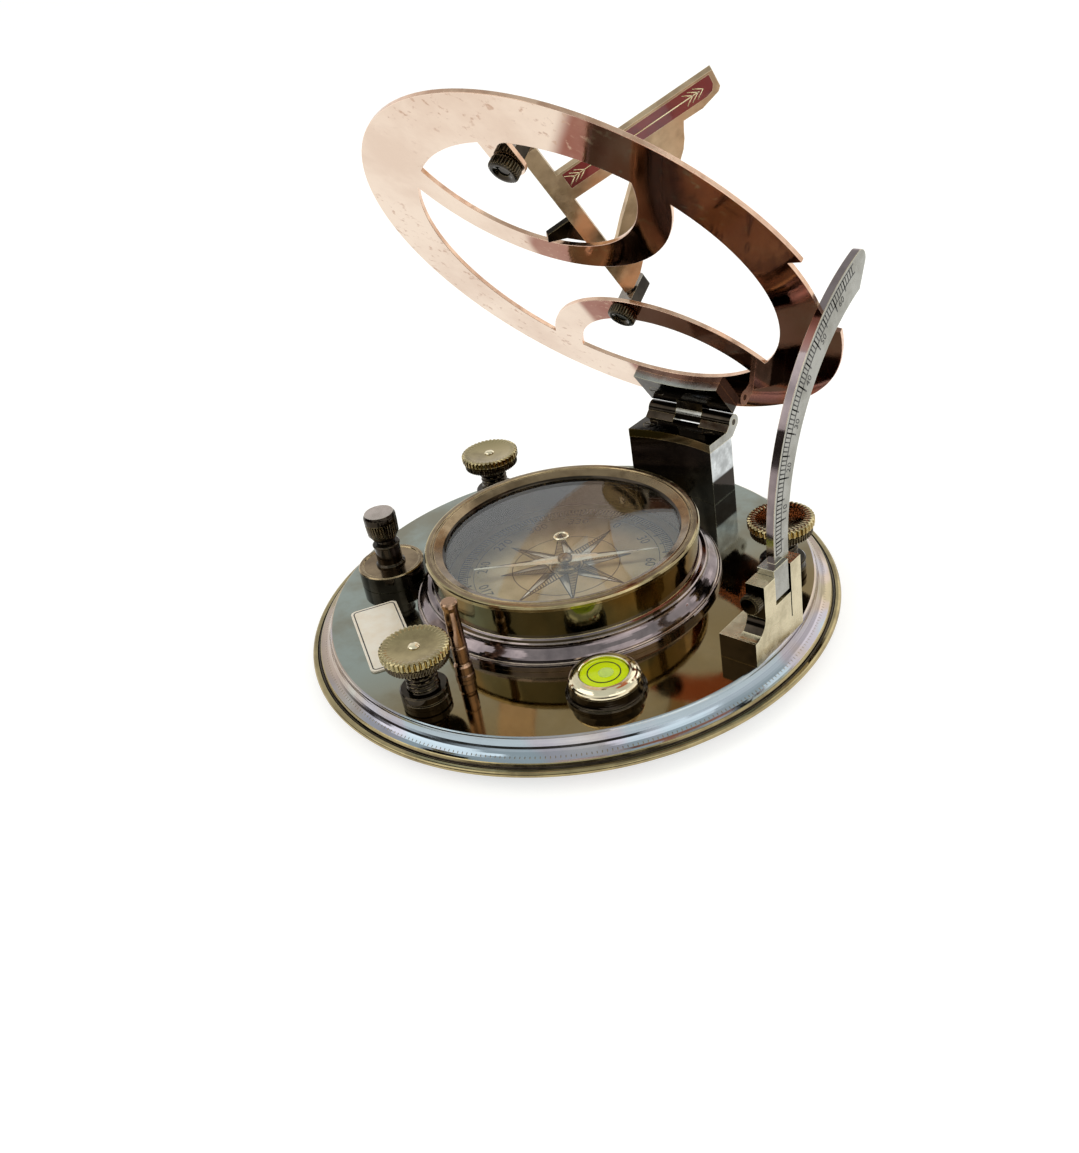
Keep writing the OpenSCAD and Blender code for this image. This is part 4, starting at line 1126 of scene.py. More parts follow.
@dataclass
class BasePlate:
    """The round plate with its bead, groove, step and cove.

    Attributes:
        bead: Radius and height of the rim bead's middle.
        bead_r: The bead's own radius.
        cove: Radius and height of the cove's middle.
        cove_size: How far the cove reaches in and down from there.
        ticks: Number of fine ticks round the cove.
        tick_turn: Where they lie, in degrees about the cove's middle.
    """

    bead: Span = (74.25, 4.75)
    bead_r: float = 0.75
    cove: Span = (72.3, 10.65)
    cove_size: Span = (3.7, 4.15)
    ticks: int = 360
    tick_turn: float = 24.0

    def cove_at(self, degrees: float) -> Tuple[float, float]:
        """Gives a point of the cove's section, at an angle about the cove's middle."""
        t, (reach, drop) = math.radians(degrees), self.cove_size
        return self.cove[0] - reach * math.sin(t), self.cove[1] - drop * math.cos(t)

    def outline(self) -> List[Tuple[float, float]]:
        """Gives the plate's section from the axis underneath, round the rim, to the axis on top."""
        turns = np.radians(np.arange(0, 190, 14))
        bead = zip(
            self.bead[0] + self.bead_r * np.sin(turns), self.bead[1] - self.bead_r * np.cos(turns)
        )
        cove = [self.cove_at(9 * i) for i in range(1, 11)]
        return [
            (0, 8.1), (65.5, 8.1), (66.5, 7.1), (69.7, 4.4), (70.1, 4.0), (73.9, 4.0), *bead,
            (73.55, 5.45), (73.25, 5.2), (72.95, 5.3), (72.75, 5.8), (72.5, 6.3), (72.3, 6.45),
            *cove, (68.4, 10.95), (68.05, 11.1), (0, 11.1),
        ]

    def build(self, shop: Workshop) -> None:
        """Builds the plate and the fine ticks cut round its cove."""
        made = revolved(self.outline(), 360, 0.12, 2)
        plate = shop.piece(
            "base_plate_turned", made, "base", Slot.AGED_BRASS, Finish.TINTED_BRASS, ["base_plate"]
        )
        shop.zone(plate, Finish.MIRROR_BRASS, lambda p, n: (n[:, 2] > 0.98) & (p[:, 2] > 11.0))
        shop.zone(plate, Finish.GOLD_BRASS, lambda p, n: (off_axis(p) > 72.2) & (p[:, 2] < 6.6))
        shop.zone(plate, Finish.BLACK_BRONZE, lambda p, n: (np.abs(off_axis(p) - 73.1) < 0.45)
                  & (p[:, 2] > 4.5) & (p[:, 2] < 6.0))
        shop.zone(plate, Finish.TURNED_BRASS, lambda p, n: (n[:, 2] < -0.2) & (off_axis(p) < 71))
        number = np.arange(self.ticks)
        radial = spokes(np.radians(number * 360 / self.ticks))
        t, (reach, drop) = math.radians(self.tick_turn), self.cove_size
        slope = np.array([-reach * math.cos(t), drop * math.sin(t)])
        slope /= np.linalg.norm(slope)
        along, up = radial * slope[0] + UP * slope[1], radial * slope[1] - UP * slope[0]
        radius, height = self.cove_at(self.tick_turn)
        middle = radial * radius + UP * height
        length = np.where(number % 5 == 0, 1.9, 1.3)
        ticks = bars(middle - 0.03 * up, along, up, length, 0.2, 0.05)
        shop.piece("cove_ticks", ticks, "base", Slot.AGED_BRASS, Finish.BLACK_BRONZE)


@dataclass
class LevellingScrews:
    """Three threaded shafts with knurled heads, in threaded bosses."""

    crest: float = 4.2
    pitch: float = 1.25
    depth: float = 0.55
    head_z: float = 22.8
    head_r: float = 8.95
    head_h: float = 4.8
    teeth: int = 40

    def shaft(self) -> Surface:
        """Makes a threaded shaft.

        The radius is the crest's less the depth times a triangle wave of (z / pitch - a / full
        turn), so that the groove climbs by one pitch in each turn. It tapers at the lower end.
        """
        steps, rows = 72, 190
        z = np.linspace(0.35, self.head_z - 0.1, rows)
        a = np.linspace(0, 2 * math.pi, steps, endpoint=False)
        zz, aa = np.meshgrid(z, a, indexing="ij")
        wave = np.abs(((zz / self.pitch - aa / (2 * math.pi)) % 1) - 0.5) * 2
        wave = np.clip(1.25 * wave, 0, 1)
        end = np.clip((zz - 0.35) / 1.2, 0, 1)
        r = (self.crest - self.depth * wave) * (0.82 + 0.18 * np.sqrt(end))
        points = np.stack([r * np.cos(aa), r * np.sin(aa), zz], -1).reshape(-1, 3)
        circle = arc_line(1.0, 0, 360 - 360 / steps, steps)
        neck, top = 3.0, self.head_z + 3.2
        caps = np.concatenate([circle * 2.6, circle * neck + [0, 0, top]])
        low, high = len(points), len(points) + steps
        poles = np.array([[0, 0, 0], [0, 0, top]])
        ring = np.arange(steps)
        nxt = np.roll(ring, -1)
        last = (rows - 1) * steps
        faces = [
            grid_faces(rows, steps, False, True),
            np.stack([low + ring, low + nxt, nxt, ring], 1),
            np.stack([last + ring, last + nxt, high + nxt, high + ring], 1),
            np.stack([np.full(steps, high + steps), low + nxt, low + ring], 1),
            np.stack([np.full(steps, high + steps + 1), high + ring, high + nxt], 1),
        ]
        return Surface(np.concatenate([points, caps, poles]), faces).outward()

    def head(self) -> Surface:
        """Makes a head: a coarse tier over a fine one, and a dished top with a small button."""
        z, r, h = self.head_z, self.head_r, self.head_h
        dish = [
            (
                r - 1.1 - (r - 2.3) * i / 7, z + h - 0.08 - 0.5 * math.sin(math.pi / 2 * i / 7)
            ) for i in range(1, 8)
        ]
        corners = [
            (0, z + 3.3), (3.05, z + 3.3), (3.05, z), (r - 1.9, z), (r - 0.6, z + 0.35),
            (r - 0.6, z + 2.0),
            (r - 1.25, z + 2.15), (r - 1.25, z + 2.5), (r, z + 2.75), (r, z + h - 0.35),
            (r - 0.45, z + h),
            (r - 0.95, z + h), *dish, (1.6, z + h - 0.5), (1.2, z + h - 0.15), (0.6, z + h),
            (0, z + h),
        ]
        coarse = knurled(self.teeth, 0.62, z + 2.6, z + h + 0.3, 0.2)

        def both(rr: Array, zz: Array, aa: Array) -> Array:
            """Cuts the coarse tier, then the fine one."""
            cut = coarse(rr, zz, aa)
            tier = (zz < z + 2.3) & (rr > r - 0.9)
            return np.where(
                tier, rr - 0.3 * (1 - np.cos(64 * aa)) / 2 * np.clip((zz - z - 0.1) / 0.2, 0, 1),
                cut
            )

        return revolved(corners, 480, 0.1, 2, shape=both)

    def boss(self) -> Surface:
        """Makes a boss round the shaft, with a groove round it."""
        corners = [
            (4.27, 8.15), (5.2, 8.15), (5.2, 11.0), (6.25, 11.1), (6.25, 12.4), (5.85, 12.65),
            (5.85, 12.95), (6.25, 13.2), (6.25, 14.75), (5.85, 15.1), (4.27, 15.1),
        ]
        return revolved(corners, 96, 0.12, 2, closed=True)

    def build(self, shop: Workshop) -> None:
        """Builds the three screws and their bosses."""
        tier_z, button_z = self.head_z + 2.6, self.head_z + 4.3
        for i in range(3):
            place = PLACE.at_screw(i)
            node, made = f"levelling_shaft_{i + 1}", self.shaft().moved(place)
            bronze, finish = Slot.BLACK_BRONZE, Finish.BLACK_BRONZE
            shop.piece(f"{node}_threaded", made, f"shaft_{i + 1}", bronze, finish, [node], 40)
            node, made = f"levelling_head_{i + 1}", self.head().moved(place)
            brass, finish = Slot.BRIGHT_BRASS, Finish.GOLD_BRASS
            head = shop.piece(f"{node}_knurled", made, f"head_{i + 1}", brass, finish, [node], 28)
            shop.zone(head, Finish.BLACK_BRONZE, lambda p, n: p[:, 2] < tier_z)
            shop.zone(head, Finish.DARK_BRASS, lambda p, n: (p[:, 2] > tier_z) & (n[:, 2] < 0.5))
            from_axis = place[:2, 3]

            def button(p: Array, n: Array, spot: Array = from_axis) -> Array:
                """Tells the faces of the button on the head's top."""
                return (p[:, 2] > button_z) & (off_axis(p[:, :2] - spot) < 1.6)

            shop.zone(head, Finish.BRIGHT_BRASS, button)
        bosses = joined([self.boss().moved(PLACE.at_screw(i)) for i in range(3)])
        shop.piece(
            "screw_bosses_turned", bosses, "base", Slot.BLACK_BRONZE, Finish.BLACK_BRONZE,
            ["screw_bosses"]
        )


@dataclass
class Compass:
    """The case with its moulding, the bezel, the glass, the engraved dial and the needle."""

    dial_z: float = 15.1
    ink: float = 0.03
    rail: float = 30.8
    points: int = 8
    needle_z: float = 17.0
    needle_half: float = 26.0
    needle_turn: float = 219.0

    def case(self) -> Surface:
        """Makes the case: flange, ogee moulding, edge and drum wall, hollow inside."""
        ogee = [
            (
                42.3 - 2.7 * (0.5 - 0.5 * math.cos(math.radians(18 * i))), 2.1 + 3.5 * i / 10
            ) for i in range(11)
        ]
        corners = [
            (0, 0), (43.2, 0), (43.2, 1.35), (42.95, 1.9), (42.5, 1.9), (42.4, 2.05), *ogee,
            (39.65, 5.75),
            (39.6, 6.0), (39.25, 6.25), (38.2, 6.25), (37.6, 6.6), (37.6, 14.8), (35.9, 14.8),
            (35.9, 12.8),
            (34.2, 12.8), (34.2, 3.2), (32.4, 3.2), (32.4, 1.5), (0, 1.5),
        ]
        return revolved(corners, 320, 0.12, 2).moved(shift(0, 0, PLACE.top_z))

    def bezel(self) -> Surface:
        """Makes the bezel: a rounded rim, a flat, a step line and a slope down to the glass."""
        corners = [
            (32.7, -2.2), (35.8, -2.2), (35.8, -1.7), (38.0, -1.7), (38.3, -1.4), (38.3, -0.55),
            (38.0, -0.1),
            (37.6, 0.0), (36.5, 0.0), (36.3, -0.3), (35.9, -0.3), (35.6, -0.1), (33.3, -1.25),
            (32.9, -1.6),
            (32.7, -1.9),
        ]
        return revolved(corners, 320, 0.14, 3, closed=True).moved(shift(0, 0, PLACE.top_z + 16.5))

    def marks(self) -> List[Surface]:
        """Makes the dial's engraving: rails, degree ticks, numbers, and the rose's lines."""
        z = self.dial_z
        parts = [
            ribbon(arc_line(r, 0, 360 - 360 / 240, 240, z), UP, w, self.ink, closed=True)
            for r, w in (
                (self.rail, 0.3), (28.2, 0.2), (26.4, 0.2), (15.3, 0.24), (4.9, 0.3), (4.2, 0.2)
            )
        ]
        for step, inner, width in ((2, 28.5, 0.44), (10, 27.2, 0.6)):
            a = np.radians(np.arange(0, 360, step))
            radial = spokes(a)
            middle = radial * (self.rail + inner) / 2 + UP * z
            parts.append(bars(middle, radial, UP, self.rail - inner, width, self.ink))
        for value in range(0, 360, 30):
            letter = lettering(str(value), 3.0, self.ink)
            parts.append(letter.moved(spin("Z", 90 - value) @ shift(23.8, 0, z) @ spin("Z", -90)))
        parts += [self.hatching(point) for point in range(self.points)]
        return parts

    @staticmethod
    def point_shape(number: int) -> Tuple[Array, Array, Array]:
        """Gives a rose point's start on its middle line, its foot to the side, and its tip."""
        half = math.radians(22.5)
        length = 20.8 if number % 2 == 0 else 18.6
        return np.array([4.7, 0.0]), 6.8 * np.array(
            [math.cos(half), math.sin(half)]
        ), np.array([length, 0.0])

    def hatching(self, number: int) -> Surface:
        """Makes a point's outline and the hatching of its dark half."""
        start, side, tip = self.point_shape(number)
        other = side * [1, -1]
        lines = [
            (start, tip, 0.24), (side, tip, 0.3), (other, tip, 0.3), (start, side, 0.24),
            (start, other, 0.24)
        ]
        for share in np.linspace(0.06, 0.94, 15):
            lines.append((start + (tip - start) * share, side + (tip - side) * share, 0.32))
        return strokes(lines, self.dial_z, self.ink).moved(spin("Z", 45 * number))

    def bright_points(self) -> Surface:
        """Makes the rose's bright halves as thin inlays under the lines."""
        parts = []
        for number in range(self.points):
            start, side, tip = self.point_shape(number)
            flat = [start, side * [1, -1], tip]
            parts.append(
                slab(flat, self.dial_z, self.dial_z + 0.012).moved(spin("Z", 45 * number)).outward()
            )
        return joined(parts)

    def needle(self) -> Surface:
        """Makes the needle as two slender blades with a raised middle line."""
        t = np.linspace(-1, 1, 61)
        w = 0.35 + 1.9 * (1 - np.abs(t)) ** 1.6
        x, flat = t * self.needle_half, 0 * t
        rows = [
            (x, -w, flat), (x, flat, flat), (x, w, flat),
            (x, w, flat + 0.16), (x, flat, flat + 0.4), (x, -w, flat + 0.16),
        ]
        points = np.stack([np.stack(row, -1) for row in rows], 1).reshape(-1, 3)
        n = len(points)
        ends = np.array(
            [[0, 1, 4, 5], [1, 2, 3, 4], [n - 1, n - 2, n - 5, n - 6], [n - 2, n - 3, n - 4, n - 5]]
        )
        made = Surface(points, [grid_faces(61, 6, False, True), ends]).outward()
        return made.moved(spin("Z", self.needle_turn) @ shift(0, 0, self.needle_z))

    def cap(self) -> Surface:
        """Makes the needle's cap: a small dome on a collar."""
        corners = [
            (0, 0.3), (1.45, 0.3), (1.48, 0.5), (2.05, 0.52), (2.1, 0.75), (1.75, 1.2), (1.0, 1.45),
            (0, 1.5)
        ]
        return revolved(corners, 64, 0.15, 3).moved(shift(0, 0, self.needle_z - 0.1))

    def build(self, shop: Workshop) -> None:
        """Builds the whole compass."""
        case = shop.piece(
            "compass_case_turned", self.case(), "base", Slot.AGED_BRASS, Finish.MAUVE_BRASS,
            ["compass_case"]
        )
        shop.zone(case, Finish.DARK_BRASS, lambda p, n: (p[:, 2] > 17.6) & (off_axis(p) > 35.8))
        # painted shade: the case's inside within 34.3 mm, above 12 mm height, is black bronze
        shop.zone(case, Finish.BLACK_BRONZE, lambda p, n: (off_axis(p) < 34.3) & (p[:, 2] > 12))
        bezel = shop.piece(
            "bezel_turned", self.bezel(), "base", Slot.BRIGHT_BRASS, Finish.TURNED_BRASS, ["bezel"]
        )
        shop.zone(bezel, Finish.GOLD_BRASS, lambda p, n: off_axis(p) > 37.4)
        # painted shade: the slope inside 34.2 mm is black bronze, the dark gap round the glass
        shop.zone(bezel, Finish.BLACK_BRONZE, lambda p, n: off_axis(p) < 34.2)
        glass = revolved([(0, 23.9), (35.75, 23.9), (35.75, 25.4), (0, 25.4)], 200, 0.1, 2)
        shop.piece("compass_window", glass, "base", Slot.GLASS, Finish.GLASS, ["compass_glass"])
        eyelet = revolved(
            [(1.5, 25.3), (2.2, 25.3), (2.2, 25.55), (2.0, 25.7), (1.65, 25.65), (1.5, 25.5)], 64,
            0.06, 2, closed=True
        )
        shop.piece("window_eyelet", eyelet, "base", Slot.BRIGHT_BRASS, Finish.BRIGHT_BRASS)
        dial = revolved([(0, 14.3), (34.0, 14.3), (34.0, 15.1), (0, 15.1)], 200, 0.05, 2)
        shop.piece("dial_face", dial, "base", Slot.PALE_BRASS, Finish.DIAL, ["dial_plate"])
        shop.piece("dial_marks", joined(self.marks()), "base", Slot.BLACK_BRONZE, Finish.WAX)
        shop.piece("dial_rose", self.bright_points(), "base", Slot.PALE_BRASS, Finish.FROSTED)
        shop.piece(
            "needle_blade", self.needle(), "needle", Slot.NEEDLE_STEEL, Finish.STEEL, ["needle"], 20
        )
        shop.piece(
            "needle_cap_turned", self.cap(), "needle", Slot.BRIGHT_BRASS, Finish.TURNED_BRASS,
            ["needle_cap"]
        )
        shop.dress("needle_pin", Finish.TURNED_BRASS)
        shop.dress("needle_lifter", Finish.MILLED_BRASS)


@dataclass
class NeedleLock:
    """The drum, column and knurled knob that lift the needle off its pin."""

    radius: float = 53.9
    direction: float = 204.5

    def build(self, shop: Workshop) -> None:
        """Builds the drum, column and knob; the parts below the plate keep their CAD shape."""
        place = PLACE.on_plate(self.radius, self.direction)
        corners = [
            (2.05, 0), (9.75, 0), (9.75, 4.75), (9.45, 5.1), (8.55, 5.1), (8.3, 4.8), (2.05, 4.8)
        ]
        made = revolved(corners, 160, 0.14, 3, closed=True).moved(place)
        drum = shop.piece(
            "lock_drum_turned", made, "base", Slot.BLACK_BRONZE, Finish.BLACK_BRONZE, ["lock_drum"]
        )
        shop.zone(
            drum, Finish.TURNED_BRASS, lambda p, n: (n[:, 2] > 0.6) & (p[:, 2] > PLACE.top_z + 4.0)
        )
        corners = [
            (2.05, 4.75), (4.35, 4.75), (4.35, 5.3), (3.75, 5.8), (3.75, 11.0), (4.05, 11.25),
            (4.05, 11.65),
            (3.75, 11.9), (2.05, 11.9),
        ]
        column = revolved(corners, 96, 0.14, 3, closed=True).moved(place)
        shop.piece(
            "lock_column_turned", column, "base", Slot.BLACK_BRONZE, Finish.BLACK_BRONZE,
            ["lock_column"]
        )
        knob = shop.eased("lock_knob", "knob", Slot.BLACK_BRONZE, Finish.BLACK_BRONZE, 0.06)
        shop.zone(
            knob, Finish.GREY_BRONZE, lambda p, n: (n[:, 2] > 0.7) & (p[:, 2] > p[:, 2].max() - 0.9)
        )
        for node in ("lock_lever", "lever_fulcrum"):
            shop.dress(node, Finish.MILLED_BRASS)
        shop.dress("lever_pin", Finish.STEEL)


@dataclass
class Level:
    """The round spirit level in its turned cup."""

    radius: float = 53.8
    direction: float = -40.9

    def build(self, shop: Workshop) -> None:
        """Builds the cup, the domed ring, the vial, its circle and its bubble."""
        place = PLACE.on_plate(self.radius, self.direction)
        quarter = np.radians(np.arange(0, 91, 15))
        waist = list(zip(9.6 - 0.4 * np.sin(quarter), 1.2 + 2.7 * (1 - np.cos(quarter))))
        corners = [
            (0, 0), (10.2, 0), (10.2, 0.85), (9.9, 1.2), *waist, (6.8, 3.9), (6.8, 1.1), (0, 1.1)
        ]
        made = revolved(corners, 128, 0.12, 2).moved(place)
        shop.piece(
            "level_cup_turned", made, "base", Slot.BLACK_BRONZE, Finish.BLACK_BRONZE, ["level_cup"]
        )
        step = np.radians(np.arange(0, 91, 11.25))
        dome = list(zip(9.1 - 2.7 * (1 - np.cos(step)), 4.2 + 1.88 * np.sin(step)))
        ring = revolved(
            [(6.15, 3.92), (8.9, 3.92), *dome, (6.15, 5.95)], 128, 0.1, 2, closed=True
        ).moved(place)
        shop.piece(
            "level_ring_turned", ring, "base", Slot.BRIGHT_BRASS, Finish.BRIGHT_BRASS,
            ["level_ring"]
        )
        crown = list(zip(6.05 * (1 - np.arange(8) / 8), 5.4 + 0.5 * np.sin(step[:8])))
        corners = [(0, 1.15), (6.65, 1.15), (6.65, 3.85), (6.05, 3.85), *crown, (0, 5.9)]
        vial = revolved(corners, 96, 0.08, 2).moved(place)
        shop.piece("level_vial_filled", vial, "base", Slot.VIAL, Finish.SPIRIT, ["level_vial"])
        circle = ribbon(arc_line(4.1, 0, 357, 120, 5.66), UP, 0.24, 0.1, closed=True).moved(place)
        shop.piece("level_circle", circle, "base", Slot.BLACK_BRONZE, Finish.WAX)
        corners = [(0, 5.70), (1.5, 5.72), (2.1, 5.84), (1.7, 6.0), (0, 6.05)]
        bubble = revolved(corners, 64, 0.2, 3).moved(place @ shift(0.5, 0.4, 0))
        shop.piece("level_bubble", bubble, "base", Slot.VIAL, Finish.BUBBLE)


@dataclass
class HourRing:
    """The tilting copper ring with its loops, hour marks and gnomon posts."""

    mark: float = 0.03
    post_y: Tuple[float, float] = (-44.2, 17.6)

    def marks(self) -> Surface:
        """Makes the hour scale on the ring's upper face: quarter hours, hours and their numbers."""
        z = PLACE.ring_t
        numerals = [
            "VI", "VII", "VIII", "IX", "X", "XI", "XII", "I", "II", "III", "IIII", "V", "VI"
        ]
        quarter = np.radians(np.arange(-90, 90.1, 3.75) - 90)
        radial = spokes(quarter)
        parts = [
            ribbon(arc_line(r, -180, 0, 220, z), UP, 0.16, self.mark) for r in (62.2, 60.2, 54.2)
        ]
        parts.append(bars(radial * 61.2 + UP * z, radial, UP, 2.0, 0.16, self.mark))
        hours = radial[::4]
        parts.append(bars(hours * 63.0 + UP * z, hours, UP, 1.6, 0.24, self.mark))
        for i, text in enumerate(numerals):
            letter = lettering(text, 3.1, self.mark)
            parts.append(letter.moved(spin("Z", 180 + 15 * i) @ shift(57.2, 0, z) @ spin("Z", 90)))
        return joined(parts).moved(PLACE.on_ring())

    def nuts(self) -> Surface:
        """Makes the two knurled nuts under the ring."""
        corners = [
            (1.55, -2.5), (2.6, -3.0), (3.3, -3.0), (3.9, -2.65), (4.0, -2.4), (4.0, -0.6),
            (3.7, -0.25), (3.4, 0),
            (1.55, 0),
        ]
        nut = revolved(
            corners, 240, 0.1, 2, closed=True, shape=knurled(30, 0.36, -2.8, -0.3, 0.2, 1.0)
        )
        return joined([nut.moved(PLACE.on_ring() @ shift(0, y, 0)) for y in self.post_y])

    def build(self, shop: Workshop) -> None:
        """Builds the ring with eased edges, its marks, posts and nuts."""
        face = PLACE.on_ring()[:3, 2]
        # painted reflections: the ring's pale face and deep copper bands by place
        ring = shop.eased("hour_ring", "ring", Slot.COPPER, Finish.COPPER, 0.2)
        shop.zone(ring, Finish.COPPER_EDGE, lambda p, n: np.abs(n @ face) < 0.5)
        shop.zone(ring, Finish.COPPER_TOP, lambda p, n: n @ face > 0.5)
        shop.piece("hour_marks", self.marks(), "ring", Slot.BLACK_BRONZE, Finish.WAX)
        for node in ("gnomon_post_upper", "gnomon_post_lower"):
            post = shop.eased(node, "ring", Slot.BLACK_BRONZE, Finish.GREY_BRONZE, 0.25)
            # painted shade: each post's faces towards +X and under the ring are black bronze
            shop.zone(post, Finish.BLACK_BRONZE, lambda p, n: (n[:, 0] > 0.8) | (n @ face < -0.8))
        bronze, finish = Slot.BLACK_BRONZE, Finish.BLACK_BRONZE
        shop.piece("gnomon_nuts_knurled", self.nuts(), "ring", bronze, finish, ["gnomon_nuts"], 30)


@dataclass
class Gnomon:
    """The leaning sheet with its enamelled arrow."""

    sheet_t: float = 1.8
    line_y: float = -27.9

    def arrow(self) -> Surface:
        """Makes the gilt arrow on the enamel: a shaft line with barbs at both ends."""
        lines = [((6.2, self.line_y), (41.6, self.line_y), 0.3)]
        for base in (42.6, 41.2, 39.8, 9.6, 8.2, 6.8):
            for side in (-1, 1):
                lines.append(((base, self.line_y), (base - 2.2, self.line_y + side * 1.7), 0.26))
        return strokes(lines, -self.sheet_t / 2 - 0.02, 0.04).moved(PLACE.on_gnomon())

    def build(self, shop: Workshop) -> None:
        """Builds the sheet, enamel, tail and arrow."""
        face = PLACE.on_gnomon()[:3, 2]
        sheet = shop.eased("gnomon", "gnomon", Slot.PALE_BRASS, Finish.SHEET_BRASS, 0.15)
        # painted shade: the sheet's edges that face down are black bronze
        shop.zone(
            sheet, Finish.BLACK_BRONZE, lambda p, n: (np.abs(n @ face) < 0.5) & (n[:, 2] < -0.1)
        )
        # painted shade: the tail is black bronze all over, for its face turned down into shade
        shop.eased("gnomon_tail", "gnomon", Slot.BLACK_BRONZE, Finish.BLACK_BRONZE, 0.12)
        shop.dress("gnomon_enamel", Finish.RED_ENAMEL)
        shop.piece("gnomon_arrow", self.arrow(), "gnomon", Slot.PALE_BRASS, Finish.GOLD_LINE)


@dataclass
class LatitudeArc:
    """The graduated arc on its clamped tongue, and the bracket that carries it."""

    face_x: float = 66.4
    outer: float = 63.7
    centre: Tuple[float, float] = (0.6, 2.2)
    ink: float = 0.03

    def edge(self, degrees: Array) -> Array:
        """Gives the outer edge's distance from the pin, at elevations about the pin.

        The edge's centre c is beside the pin. Along a direction u the edge is
        u.c + root(R^2 - c^2 + (u.c)^2) away.
        """
        a = np.radians(degrees)
        near = self.centre[1] * np.sin(a) - self.centre[0] * np.cos(a)
        return near + np.sqrt(self.outer**2 - self.centre[0] ** 2 - self.centre[1] ** 2 + near**2)

    def at(self, radius: Array, degrees: Array) -> Array:
        """Gives points on the face from radii and elevations about the pin."""
        a = np.radians(degrees)
        y, z = PLACE.pin_y - radius * np.cos(a), PLACE.pin_z + radius * np.sin(a)
        return np.stack([np.full_like(a, self.face_x), y, z], -1)

    def scale(self) -> Surface:
        """Makes the scale on the arc's outer face.

        A mark at latitude a lies on the line from the hinge pin at elevation a, and its ends are
        radii about the pin.
        """
        out = (1, 0, 0)
        parts = []
        for inset, end in ((0.9, 70.0), (3.3, 70.0)):
            a = np.linspace(2.0, end, 120)
            parts.append(ribbon(self.at(self.edge(a) - inset, a), out, 0.24, self.ink))
        for step, inset, width in ((1, 3.3, 0.32), (5, 4.3, 0.36), (10, 5.4, 0.36)):
            a = np.arange(max(step, 2), 70, step, dtype=float)
            outer_pt, inner_pt = self.at(self.edge(a) - 0.9, a), self.at(self.edge(a) - inset, a)
            along = outer_pt - inner_pt
            size = np.linalg.norm(along, axis=1)
            parts.append(
                bars((outer_pt + inner_pt) / 2, along / size[:, None], out, size, width, self.ink)
            )
        for value in range(10, 70, 10):
            angle = np.array([value + 2.4])
            a = math.radians(angle[0])
            frame = np.eye(4)
            frame[:3, 0] = (0, math.sin(a), math.cos(a))
            frame[:3, 1], frame[:3, 2] = np.cross(out, frame[:3, 0]), out
            frame[:3, 3] = self.at(self.edge(angle) - 4.9, angle)[0]
            parts.append(lettering(str(value), 1.8, self.ink).moved(frame))
        return joined(parts)

    def build(self, shop: Workshop) -> None:
        """Builds the arc, its scale, the bracket and the clamp screw."""
        arc = shop.eased("latitude_arc", "arc", Slot.PALE_BRASS, Finish.SCALE_BRASS, 0.3)
        shop.zone(arc, Finish.MAUVE_BRASS, lambda p, n: (np.abs(n[:, 0]) < 0.5) & (p[:, 2] > 34))
        shop.piece("latitude_scale", self.scale(), "arc", Slot.BLACK_BRONZE, Finish.WAX)
        bracket = shop.eased("arc_bracket", "base", Slot.BRIGHT_BRASS, Finish.MILLED_BRASS, 0.25)
        # painted dark reflection: the bracket's faces towards -Y are black bronze
        shop.zone(bracket, Finish.BLACK_BRONZE, lambda p, n: n[:, 1] < -0.5)
        shop.eased("clamp_knob", "clamp", Slot.BLACK_BRONZE, Finish.BLACK_BRONZE, 0.06)
        shop.dress("clamp_screw", Finish.BLACK_BRONZE)


